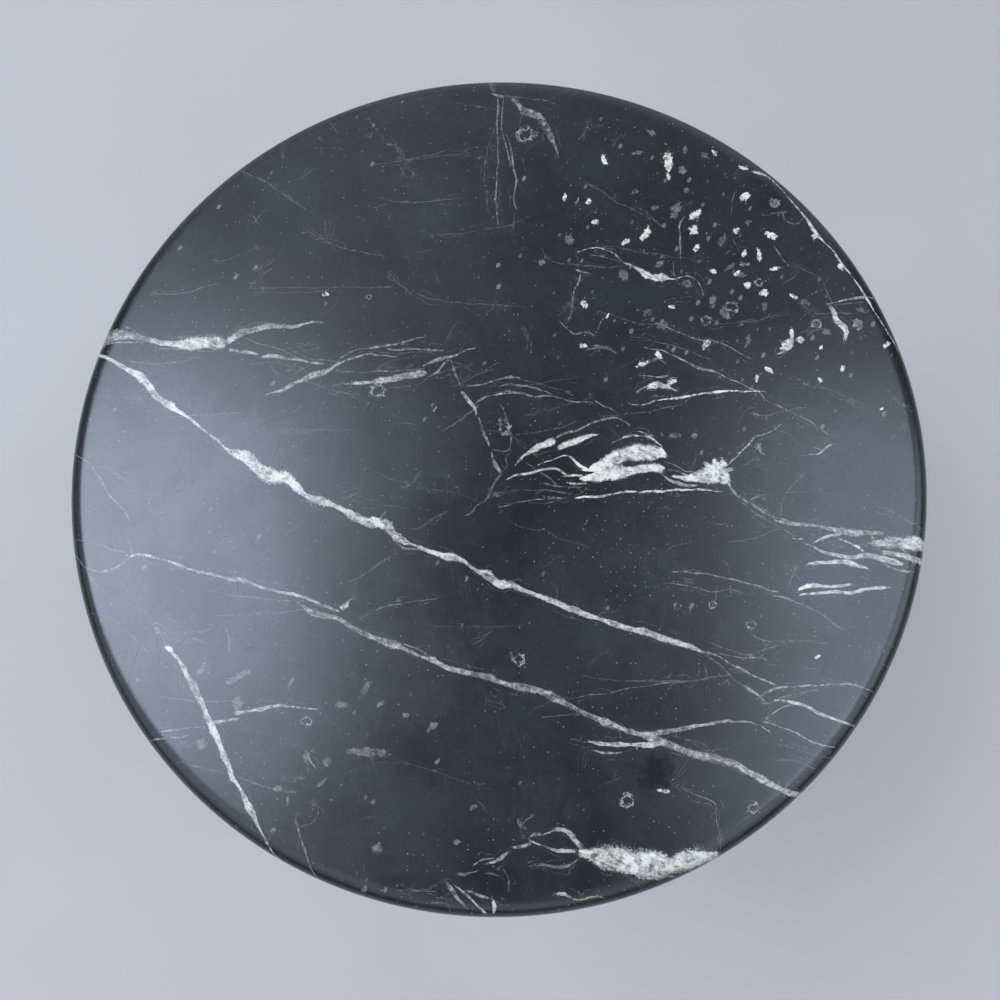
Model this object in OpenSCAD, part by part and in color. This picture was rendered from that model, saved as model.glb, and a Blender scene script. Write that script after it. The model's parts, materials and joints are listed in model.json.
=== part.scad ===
// Round pedestal side table: a stone top on a flared two-part pedestal with four levelling glides.
// Origin on the floor at the middle of the pedestal, +Z up, millimetres.

/* [Table] */
// Diameter of the stone top
top_d = 510; // [480:5:540]
// Height of the top face above the floor
table_h = 515; // [495:5:545]

/* [Stone top] */
// Thickness of the stone
stone_t = 20; // [19:1:24]
// Radius of the rounded upper edge
edge_r = 12; // [8:1:13]
// Radius of the lower edge, under the widest line
under_r = 4; // [3:0.5:5]
// Slope of the bevel under the edge, from the horizontal, in degrees
bevel_a = 22; // [15:1:30]

/* [Backing board] */
// Diameter of the plywood board under the stone
board_d = 330; // [310:5:350]
// Thickness of the board
board_t = 15; // [15:1:18]
// Width of the chamfer around the board's lower edge
board_chamfer = 6; // [3:1:8]
// Number of screws that hold the board to the stone
board_screw_n = 6; // [4:1:8]

/* [Top plate] */
// Diameter of the steel plate on the pedestal
plate_d = 220; // [200:5:240]
// Thickness of the plate
plate_t = 5; // [4:1:6]
// Thickness of the nylon washer between the column and the plate
neck_washer_t = 1; // [1:0.5:2]

/* [Column] */
// Radius of the column at its foot, where it meets the base
foot_r = 27; // [26.5:0.5:29]
// Radius of the column under the plate
head_r = 33; // [32:0.5:36]
// Wall of the column
column_wall = 6; // [6:0.25:6.5]

/* [Base] */
// Diameter of the base
base_d = 320; // [316:2:330]
// Height of the base's underside above the floor
base_gap = 10; // [10:0.5:11]
// Height of the joint between the base and the column
base_h = 167; // [160:1:180]

/* [Glides] */
// Radius of the circle that the glides stand on
glide_circle_r = 116; // [114:1:118]
// Radius of a glide's nylon pad
pad_r = 13; // [11:0.5:14]
// Nominal radius of a glide's threaded stem
stem_r = 4; // [3.5:0.5:4]

/* [Hidden] */

$fn = 64;
clear = 0.05;        // radial room around a shank or a stem in its bore
slack = 0.1;         // radial room around a part that drops into a seat
over = 1;            // how far a cutting tool runs past a face
curve_steps = 36;    // straight steps along each curved outline
arc_steps = 8;       // straight steps along each rounded corner

// Heights, from the top down
stone_z = table_h - stone_t;
board_z = stone_z - board_t;
plate_z = board_z - plate_t;
column_top = plate_z - neck_washer_t;

// Stone, board and plate fixings
top_r = top_d / 2;
board_screw_circle_r = 140;
board_screw_r = 3;
board_screw_l = 22;
board_screw_head_r = 6;
board_screw_head_h = 3;
anchor_r = 5;
anchor_l = 12;
insert_circle_r = 90;
insert_n = 4;
insert_r = 5;
insert_l = 12;
plate_screw_r = 3;
plate_screw_l = 15;
plate_screw_head_r = 5.25;
plate_screw_head_h = 3.3;
plate_washer_r = 6.25;
plate_washer_t = 1.2;
plate_chamfer = 2;
hub_r = 24.5;
hub_h = 16;
hex_key = 4;         // across the flats of a socket for a key

// Column and tie rod
spigot_r = foot_r - column_wall - slack;
spigot_wall = 6;
spigot_h = 30;
spigot_up = 12;      // how far the spigot stands up into the column
web_t = 12;
web_top = base_h - (spigot_h - spigot_up);
web_z = web_top - web_t;
rod_r = 6;
rod_top = plate_z + 2;
rod_washer_r = 12;
rod_washer_t = 2.5;
rod_spring_r = 10.5;
rod_spring_t = 3;
rod_nut_af = 19;
rod_nut_h = 10;
rod_tail = 8;        // rod left below the nut

// Base
base_r = base_d / 2;
rim_r = 7;           // upper corner of the rim
rim_low_r = 3;       // lower corner of the rim
rim_land = 2;        // straight band between the two corners
flare_a = 80;        // where the upper corner hands over to the flare, in degrees
flare_reach = 65;    // how far the flare runs on in that direction
cover_t = 2;
cover_recess = 1;    // from the base's underside up to the cover
cover_r = base_r - 9.5;
cover_z = base_gap + cover_recess;
cover_top = cover_z + cover_t;
shell_in_r = base_r - 13;
cover_screw_n = 4;
cover_screw_circle_r = 139;
cover_screw_r = 2;
cover_screw_l = 8;
cover_screw_head_r = 3.8;
cover_lug_r = 6.5;
key_hole_r = 18;     // hole in the cover that a socket key reaches the tie rod's nut through
flare_split_r = base_r - 68;  // where the base's rim hands over to its flare
neck_split_r = foot_r + 18;   // and the flare to the neck
ballast_in_r = 32;
ballast_r = 80;
ballast_t = 16;
ballast_z = cover_top + 7;
ballast_bolt_n = 3;
ballast_bolt_circle_r = 55;
ballast_bolt_r = 4;
ballast_bolt_l = 30;
ballast_head_af = 13;
ballast_head_h = 5.5;
ballast_boss_r = 9;

// Glides
glide_n = 4;
glide_start_a = 45;  // direction of the first glide, in degrees
glide_retract = 2.5; // how far a glide still screws in: two turns
pad_h = 4.5;
ball_r = 5;          // round end of the stem in the pad
ball_h = 2.5;
stem_hex_af = 13;
stem_hex_h = 2.5;
stem_top = 23;
bush_r = 7;
bush_l = 11;
glide_boss_r = 11;
glide_hole_r = 9;    // hole in the cover around a stem

stone_grey = [0.10, 0.11, 0.12];
paint_black = [0.07, 0.07, 0.075];
zinc = [0.70, 0.71, 0.72];
brass = [0.78, 0.62, 0.30];
nylon_black = [0.05, 0.05, 0.05];

// A point on the cubic curve with the four control points p
function bezier(p, t) = pow(1 - t, 3) * p[0] + 3 * pow(1 - t, 2) * t * p[1]
                      + 3 * (1 - t) * pow(t, 2) * p[2] + pow(t, 3) * p[3];
function curve(p) = [for (i = [0 : curve_steps]) bezier(p, i / curve_steps)];
// Points on an arc about c from angle a to angle b
function arc(c, r, a, b) = [for (i = [0 : arc_steps]) let (t = a + (b - a) * i / arc_steps)
                            c + r * [cos(t), sin(t)]];
function reversed(list) = [for (i = [len(list) - 1 : -1 : 0]) list[i]];

// Copies of the children on a circle about Z
module around(n, r, start = 0) {
    for (i = [0 : n - 1]) rotate(start + i * 360 / n) translate([r, 0, 0]) children();
}

module at_glide(i) {
    rotate(glide_start_a + (i - 1) * 360 / glide_n) translate([glide_circle_r, 0, 0]) children();
}

module hexagon(af, h) {
    cylinder(r = af / sqrt(3), h = h, $fn = 6);
}

module ring(r, hole_r, h) {
    difference() {
        cylinder(r = r, h = h);
        translate([0, 0, -over]) cylinder(r = hole_r, h = h + 2 * over);
    }
}

// Screw with a countersunk head at z = 0 that points up, and a socket for a key
module countersunk_screw(r, l, head_r, head_h, key) {
    difference() {
        union() {
            cylinder(r = r, h = l);
            cylinder(r1 = head_r, r2 = r, h = head_h);
        }
        translate([0, 0, -over]) hexagon(key, over + head_h * 0.6);
    }
}

// ---- Top ----

// Outline of the stone: a large round above the widest line, a small one and a bevel below it
function stone_outline() =
    let (wide_z = table_h - edge_r,
         turn = 90 - bevel_a,
         low = [top_r - under_r, wide_z] + under_r * [cos(turn), -sin(turn)],
         bevel_end = low[0] - (low[1] - stone_z) / tan(bevel_a))
    concat([[0, stone_z], [bevel_end, stone_z]],
           arc([top_r - under_r, wide_z], under_r, -turn, 0),
           arc([top_r - edge_r, wide_z], edge_r, 90 / arc_steps, 90),
           [[0, table_h]]);

module stone_top() {
    color(stone_grey) difference() {
        rotate_extrude($fn = 180) polygon(stone_outline());
        around(board_screw_n, board_screw_circle_r)
            translate([0, 0, stone_z - over]) cylinder(r = anchor_r + clear, h = anchor_l + over + 0.5);
    }
}

module stone_anchors() {
    color(brass) around(board_screw_n, board_screw_circle_r) translate([0, 0, stone_z])
        ring(anchor_r, board_screw_r + clear, anchor_l);
}

module backing_board() {
    head_room = board_screw_head_r + slack;
    color([0.13, 0.11, 0.10]) difference() {
        union() {
            translate([0, 0, board_z]) cylinder(r1 = board_d / 2 - board_chamfer, r2 = board_d / 2,
                                                h = board_chamfer, $fn = 128);
            translate([0, 0, board_z + board_chamfer]) cylinder(d = board_d, h = board_t - board_chamfer,
                                                                $fn = 128);
        }
        around(board_screw_n, board_screw_circle_r) translate([0, 0, board_z]) {
            translate([0, 0, -over]) cylinder(r = board_screw_r + clear, h = board_t + 2 * over);
            cylinder(r1 = head_room, r2 = head_room - board_screw_head_h, h = board_screw_head_h);
        }
        around(insert_n, insert_circle_r, glide_start_a) translate([0, 0, board_z - over])
            cylinder(r = insert_r + clear, h = over + insert_l + 0.5);
    }
}

module board_screws() {
    color(zinc) around(board_screw_n, board_screw_circle_r) translate([0, 0, board_z])
        countersunk_screw(board_screw_r, board_screw_l, board_screw_head_r, board_screw_head_h, hex_key);
}

module board_inserts() {
    color(brass) around(insert_n, insert_circle_r, glide_start_a) translate([0, 0, board_z])
        ring(insert_r, plate_screw_r + clear, insert_l);
}

// ---- Top plate ----

module top_plate() {
    color(paint_black) difference() {
        union() {
            translate([0, 0, plate_z]) cylinder(r1 = plate_d / 2 - plate_chamfer, r2 = plate_d / 2,
                                                h = plate_chamfer, $fn = 128);
            translate([0, 0, plate_z + plate_chamfer]) cylinder(d = plate_d, h = plate_t - plate_chamfer,
                                                                $fn = 128);
        }
        translate([0, 0, plate_z - over]) cylinder(r = rod_r + slack, h = plate_t + 2 * over);
        around(insert_n, insert_circle_r, glide_start_a) translate([0, 0, plate_z - over])
            cylinder(r = plate_screw_r + 0.5, h = plate_t + 2 * over);
    }
}

// Button-head screws, heads down
module plate_screws() {
    color(zinc) around(insert_n, insert_circle_r, glide_start_a)
        translate([0, 0, plate_z - plate_washer_t]) difference() {
            union() {
                cylinder(r = plate_screw_r, h = plate_screw_l);
                translate([0, 0, -plate_screw_head_h])
                    cylinder(r1 = plate_screw_head_r * 0.72, r2 = plate_screw_head_r, h = plate_screw_head_h);
            }
            translate([0, 0, -plate_screw_head_h - over]) hexagon(hex_key, over + 2);
        }
}

module plate_washers() {
    color(zinc) around(insert_n, insert_circle_r, glide_start_a) translate([0, 0, plate_z - plate_washer_t])
        ring(plate_washer_r, plate_screw_r + slack, plate_washer_t);
}

// Threaded boss welded under the plate, which centres the column
module plate_hub() {
    color(paint_black) translate([0, 0, plate_z - hub_h]) ring(hub_r, rod_r + clear, hub_h);
}

module neck_washer() {
    color(nylon_black) translate([0, 0, column_top]) ring(head_r - 0.5, hub_r + slack, neck_washer_t);
}

// ---- Column ----

// The column leaves the base at the slope that the flare ends with, narrows, and widens under the plate
column_curve = [[foot_r, base_h], [foot_r - 3.35, base_h + 57],
                [foot_r - 11, column_top - 79], [head_r, column_top]];

module column() {
    inner = [for (p = curve(column_curve)) if (p[1] > base_h + spigot_up + 1 && p[1] < column_top - hub_h - 1)
             [p[0] - column_wall, p[1]]];
    color(paint_black) rotate_extrude($fn = 96) polygon(concat(
        curve(column_curve),
        [[hub_r + slack, column_top], [hub_r + slack, column_top - hub_h]],
        reversed(inner),
        [[inner[0][0], base_h + spigot_up], [foot_r - column_wall, base_h + spigot_up],
         [foot_r - column_wall, base_h]]));
}

module spigot_ring() {
    color(zinc) translate([0, 0, web_top]) ring(spigot_r, spigot_r - spigot_wall, spigot_h);
}

// ---- Base ----

flare_start = [base_r - rim_r, base_gap + rim_low_r + rim_land] + rim_r * [cos(flare_a), sin(flare_a)];
flare_curve = [flare_start, flare_start + flare_reach * [-sin(flare_a), cos(flare_a)],
               [foot_r + 6, base_gap + 54], [foot_r, base_h]];
inner_curve = [[shell_in_r, cover_top + 3], [base_r - 74, cover_top + 15],
               [foot_r + 4, cover_top + 49], [foot_r - column_wall, web_z]];

function base_outside() = concat(
    arc([base_r - rim_low_r, base_gap + rim_low_r], rim_low_r, -90, 0),
    arc([base_r - rim_r, base_gap + rim_low_r + rim_land], rim_r, 0, flare_a),
    [for (i = [1 : curve_steps]) bezier(flare_curve, i / curve_steps)]);

module base_shell() {
    rod_hole_r = rod_r + 0.5;
    rotate_extrude($fn = 144) polygon(concat(
        base_outside(),
        [[foot_r - column_wall, base_h], [foot_r - column_wall, web_top],
         [rod_hole_r, web_top], [rod_hole_r, web_z]],
        reversed(curve(inner_curve)),
        [[shell_in_r, cover_top], [cover_r + 0.5, cover_top], [cover_r + 0.5, base_gap]]));
}

// The bosses stand on the inside of the shell: the shape of the base's outside trims their tops
module base_bosses() {
    intersection() {
        rotate_extrude($fn = 144) polygon(concat([[0, base_gap]], base_outside(), [[0, base_h]]));
        union() {
            around(glide_n, glide_circle_r, glide_start_a) translate([0, 0, cover_top])
                cylinder(r = glide_boss_r, h = base_h);
            around(ballast_bolt_n, ballast_bolt_circle_r) translate([0, 0, ballast_z + ballast_t])
                cylinder(r = ballast_boss_r, h = base_h);
            around(cover_screw_n, cover_screw_circle_r) translate([0, 0, cover_top])
                cylinder(r = cover_lug_r, h = base_h);
        }
    }
}

module base_body() {
    glide_bore_top = stem_top + glide_retract + 0.5;
    difference() {
        union() {
            base_shell();
            base_bosses();
        }
        around(glide_n, glide_circle_r, glide_start_a) translate([0, 0, cover_top - over]) {
            cylinder(r = bush_r + clear, h = over + bush_l);
            cylinder(r = stem_r + 0.5, h = over + glide_bore_top - cover_top);
        }
        around(ballast_bolt_n, ballast_bolt_circle_r) translate([0, 0, ballast_z])
            cylinder(r = ballast_bolt_r + clear, h = ballast_bolt_l + 1);
        around(cover_screw_n, cover_screw_circle_r) translate([0, 0, cover_top - over])
            cylinder(r = cover_screw_r + clear, h = over + cover_screw_l - cover_t + 0.5);
    }
}

// The base is one casting. It is given as three rings that touch, so that each has a plain shape.
module base_rim() {
    color(paint_black) intersection() {
        base_body();
        ring(base_r + over, flare_split_r, base_h);
    }
}

module base_flare() {
    color(paint_black) intersection() {
        base_body();
        ring(flare_split_r, neck_split_r, base_h);
    }
}

module base_neck() {
    color(paint_black) intersection() {
        base_body();
        cylinder(r = neck_split_r, h = base_h + over);
    }
}

module tie_rod() {
    foot = web_z - rod_washer_t - rod_spring_t - rod_nut_h - rod_tail;
    color(zinc) translate([0, 0, foot]) cylinder(r = rod_r, h = rod_top - foot);
}

module tie_rod_washer() {
    color(zinc) translate([0, 0, web_z - rod_washer_t]) ring(rod_washer_r, rod_r + clear, rod_washer_t);
}

// Split ring under the flat washer
module tie_rod_spring_washer() {
    color(zinc) translate([0, 0, web_z - rod_washer_t - rod_spring_t]) difference() {
        ring(rod_spring_r, rod_r + clear, rod_spring_t);
        translate([rod_r - over, -0.6, -over]) cube([rod_spring_r, 1.2, rod_spring_t + 2 * over]);
    }
}

module tie_rod_nut() {
    color(zinc) translate([0, 0, web_z - rod_washer_t - rod_spring_t - rod_nut_h]) difference() {
        hexagon(rod_nut_af, rod_nut_h);
        translate([0, 0, -over]) cylinder(r = rod_r + clear, h = rod_nut_h + 2 * over);
    }
}

module ballast_ring() {
    color([0.22, 0.20, 0.19]) difference() {
        translate([0, 0, ballast_z]) ring(ballast_r, ballast_in_r, ballast_t);
        around(ballast_bolt_n, ballast_bolt_circle_r) translate([0, 0, ballast_z - over])
            cylinder(r = ballast_bolt_r + 0.5, h = ballast_t + 2 * over);
    }
}

module ballast_bolts() {
    color(zinc) around(ballast_bolt_n, ballast_bolt_circle_r) translate([0, 0, ballast_z]) {
        cylinder(r = ballast_bolt_r, h = ballast_bolt_l);
        translate([0, 0, -ballast_head_h]) hexagon(ballast_head_af, ballast_head_h);
    }
}

module base_cover() {
    head_room = cover_screw_head_r + slack;
    color(paint_black) difference() {
        translate([0, 0, cover_z]) cylinder(r = cover_r, h = cover_t, $fn = 128);
        translate([0, 0, cover_z - over]) cylinder(r = key_hole_r, h = cover_t + 2 * over);
        around(glide_n, glide_circle_r, glide_start_a) translate([0, 0, cover_z - over])
            cylinder(r = glide_hole_r, h = cover_t + 2 * over);
        around(cover_screw_n, cover_screw_circle_r) translate([0, 0, cover_z]) {
            translate([0, 0, -over]) cylinder(r = cover_screw_r + slack, h = cover_t + 2 * over);
            cylinder(r1 = head_room, r2 = cover_screw_r + slack, h = cover_t);
        }
    }
}

module cover_screws() {
    color(zinc) around(cover_screw_n, cover_screw_circle_r) translate([0, 0, cover_z])
        countersunk_screw(cover_screw_r, cover_screw_l, cover_screw_head_r, cover_t, 2.5);
}

// ---- Glides ----

module glide_bushes() {
    color(brass) around(glide_n, glide_circle_r, glide_start_a) translate([0, 0, cover_top])
        ring(bush_r, stem_r + clear, bush_l);
}

// Nylon pad with a socket for the round end of the stem
module glide_pad(i) {
    color(nylon_black) at_glide(i) difference() {
        union() {
            cylinder(r1 = pad_r - 1, r2 = pad_r, h = 1);
            translate([0, 0, 1]) cylinder(r = pad_r, h = pad_h - 2);
            translate([0, 0, pad_h - 1]) cylinder(r1 = pad_r, r2 = pad_r - 1, h = 1);
        }
        translate([0, 0, pad_h - ball_h]) cylinder(r = ball_r + clear, h = ball_h + over);
    }
}

module glide_stem(i) {
    color(zinc) at_glide(i) {
        translate([0, 0, pad_h - ball_h]) cylinder(r = ball_r, h = ball_h);
        translate([0, 0, pad_h]) hexagon(stem_hex_af, stem_hex_h);
        translate([0, 0, pad_h + stem_hex_h]) cylinder(r = stem_r, h = stem_top - pad_h - stem_hex_h);
    }
}

stone_top();
stone_anchors();
backing_board();
board_screws();
board_inserts();
top_plate();
plate_screws();
plate_washers();
plate_hub();
neck_washer();
column();
spigot_ring();
base_rim();
base_flare();
base_neck();
tie_rod();
tie_rod_washer();
tie_rod_spring_washer();
tie_rod_nut();
ballast_ring();
ballast_bolts();
base_cover();
cover_screws();
glide_bushes();
for (i = [1 : glide_n]) {
    glide_pad(i);
    glide_stem(i);
}
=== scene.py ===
"""Round pedestal side table: materials, fine meshes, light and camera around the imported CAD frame.

Lengths are metres unless a name says mm. Patterns on the stone are laid out in millimetres from
the middle of the top, +X right and +Y away from the viewer.
"""
import json
import math
from types import SimpleNamespace

import bmesh
import bpy
import numpy as np
from mathutils import Matrix, Vector
from mathutils.geometry import delaunay_2d_cdt


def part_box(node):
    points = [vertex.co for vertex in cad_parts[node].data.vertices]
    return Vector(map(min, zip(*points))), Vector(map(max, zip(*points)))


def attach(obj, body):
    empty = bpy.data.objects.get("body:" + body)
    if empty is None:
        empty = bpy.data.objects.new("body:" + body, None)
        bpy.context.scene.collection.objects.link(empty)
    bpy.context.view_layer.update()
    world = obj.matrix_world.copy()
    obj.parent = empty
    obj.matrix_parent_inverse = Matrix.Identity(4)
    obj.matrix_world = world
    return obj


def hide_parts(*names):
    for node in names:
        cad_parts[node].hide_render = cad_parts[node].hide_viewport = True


MM = 0.001
FULL_TURN = 2 * math.pi
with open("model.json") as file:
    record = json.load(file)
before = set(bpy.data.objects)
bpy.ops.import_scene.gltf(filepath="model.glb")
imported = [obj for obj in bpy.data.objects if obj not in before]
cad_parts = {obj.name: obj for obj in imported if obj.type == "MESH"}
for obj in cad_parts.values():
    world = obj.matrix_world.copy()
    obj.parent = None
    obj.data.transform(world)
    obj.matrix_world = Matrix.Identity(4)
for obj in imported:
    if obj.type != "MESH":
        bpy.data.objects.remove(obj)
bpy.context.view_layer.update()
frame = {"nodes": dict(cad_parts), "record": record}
nodes = frame["nodes"]
scene = bpy.context.scene

# ---------------------------------------------------------------- camera

stone_low, stone_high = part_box("stone_top")
TOP_Z = stone_high.z
TOP_R = (stone_high.x - stone_low.x) / 2

LENS_MM = 31.57
SENSOR_MM = 36
EYE_X, EYE_Y, EYE_ABOVE = 0.0185, -0.1296, 0.4998  # from the middle of the top face
SWING, PITCH, ROLL = (math.radians(angle) for angle in (7.92, 11.77, -7.34))

camera = bpy.data.objects.new("camera", bpy.data.cameras.new("camera"))
scene.collection.objects.link(camera)
camera.data.sensor_width = SENSOR_MM
camera.data.lens = LENS_MM
camera.data.clip_start = 0.01
camera.matrix_world = (
    Matrix.Translation((EYE_X, EYE_Y, TOP_Z + EYE_ABOVE))
    @ Matrix.Rotation(SWING, 4, "Z")
    @ Matrix.Rotation(PITCH, 4, "X")
    @ Matrix.Rotation(ROLL, 4, "Z")
)
scene.camera = camera
scene.view_settings.view_transform = "Standard"

# ---------------------------------------------------------------- shader helpers


class Graph:
    """Short ways to add nodes to one material's tree.

    A value is a number, a colour or another node's output.
    """

    def __init__(self, name):
        self.material = bpy.data.materials.new(name)
        self.material.use_nodes = True
        self.tree = self.material.node_tree
        self.tree.nodes.clear()
        out = self.tree.nodes.new("ShaderNodeOutputMaterial")
        self.shader = self.tree.nodes.new("ShaderNodeBsdfPrincipled")
        self.tree.links.new(self.shader.outputs[0], out.inputs["Surface"])

    def put(self, socket, value):
        """Links a node's output to the socket, or sets the socket's own value."""
        if isinstance(value, bpy.types.NodeSocket):
            self.tree.links.new(value, socket)
        elif value is not None:
            socket.default_value = value

    def set(self, **values):
        """Sets the shader's own sockets, such as Base_Color=..."""
        for name, value in values.items():
            self.put(self.shader.inputs[name.replace("_", " ")], value)

    def math(self, operation, a, b=None, c=None, clamp=False):
        """Arithmetic on up to three values."""
        node = self.tree.nodes.new("ShaderNodeMath")
        node.operation = operation
        node.use_clamp = clamp
        for socket, value in zip(node.inputs, (a, b, c)):
            self.put(socket, value)
        return node.outputs[0]

    def add(self, a, b):
        return self.math("ADD", a, b)

    def mul(self, a, b):
        return self.math("MULTIPLY", a, b)

    def largest(self, values):
        """The largest of several values."""
        most = values[0]
        for value in values[1:]:
            most = self.math("MAXIMUM", most, value)
        return most

    def smooth(self, value, start, end, low=0.0, high=1.0):
        """low below start, high above end, eased between them. start may be above end."""
        node = self.tree.nodes.new("ShaderNodeMapRange")
        node.interpolation_type = "SMOOTHSTEP"
        if start > end:
            start, end, low, high = end, start, high, low
        for socket, given in zip(node.inputs, (value, start, end, low, high)):
            self.put(socket, given)
        return node.outputs[0]

    def vector(self, operation, a, b=None, scale=None):
        """Arithmetic on one or two vectors."""
        node = self.tree.nodes.new("ShaderNodeVectorMath")
        node.operation = operation
        self.put(node.inputs[0], a)
        self.put(node.inputs[1], b)
        if scale is not None:
            self.put(node.inputs["Scale"], scale)
        return node.outputs["Value" if operation == "DISTANCE" else "Vector"]

    def place(self, vector, angle=0.0, scale=(1, 1, 1)):
        """The vector in a frame that is turned by angle about Z and has the given unit lengths."""
        node = self.tree.nodes.new("ShaderNodeMapping")
        node.vector_type = "TEXTURE"
        self.put(node.inputs["Vector"], vector)
        node.inputs["Rotation"].default_value = (0, 0, math.radians(angle))
        node.inputs["Scale"].default_value = scale
        return node.outputs[0]

    def split(self, vector):
        """The vector's three parts."""
        node = self.tree.nodes.new("ShaderNodeSeparateXYZ")
        self.put(node.inputs[0], vector)
        return node.outputs

    def join(self, x, y, z):
        """A vector from its three parts."""
        node = self.tree.nodes.new("ShaderNodeCombineXYZ")
        for socket, value in zip(node.inputs, (x, y, z)):
            self.put(socket, value)
        return node.outputs[0]

    def coords_mm(self):
        """The point on the object in millimetres, in the table's frame."""
        node = self.tree.nodes.new("ShaderNodeTexCoord")
        return self.vector("SCALE", node.outputs["Object"], scale=1000.0)

    def attribute(self, name):
        """A vector stored on the mesh's points."""
        node = self.tree.nodes.new("ShaderNodeAttribute")
        node.attribute_name = name
        return node.outputs["Vector"]

    def noise(self, vector, size, detail=2.0, roughness=0.5, output="Fac"):
        """Noise with features about size long, in the vector's units; 0 to 1 around 0.5."""
        node = self.tree.nodes.new("ShaderNodeTexNoise")
        self.put(node.inputs["Vector"], vector)
        node.inputs["Scale"].default_value = 1.0 / size
        node.inputs["Detail"].default_value = detail
        node.inputs["Roughness"].default_value = roughness
        return node.outputs[output]

    def voronoi(self, vector, size):
        """Flat cells about size across: the distance from the nearest cell's point and its colour."""
        node = self.tree.nodes.new("ShaderNodeTexVoronoi")
        node.voronoi_dimensions = "2D"
        self.put(node.inputs["Vector"], vector)
        node.inputs["Scale"].default_value = 1.0 / size
        return node.outputs["Distance"], node.outputs["Color"]

    def blend(self, factor, a, b):
        """Colour a where factor is 0 and b where it is 1."""
        node = self.tree.nodes.new("ShaderNodeMix")
        node.data_type = "RGBA"
        colours = [s for s in node.inputs if s.type == "RGBA"]
        for socket, value in zip((node.inputs[0], *colours), (factor, a, b)):
            self.put(socket, value)
        return [s for s in node.outputs if s.type == "RGBA"][0]

    def bump(self, height, distance, strength=1.0):
        """Bump from a height of 0 to 1 that stands for distance, in metres."""
        node = self.tree.nodes.new("ShaderNodeBump")
        node.inputs["Strength"].default_value = strength
        node.inputs["Distance"].default_value = distance
        self.put(node.inputs["Height"], height)
        return node.outputs[0]


def rgb(r, g, b):
    """An opaque colour."""
    return (r, g, b, 1.0)


# ---------------------------------------------------------------- veins of the stone

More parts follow.
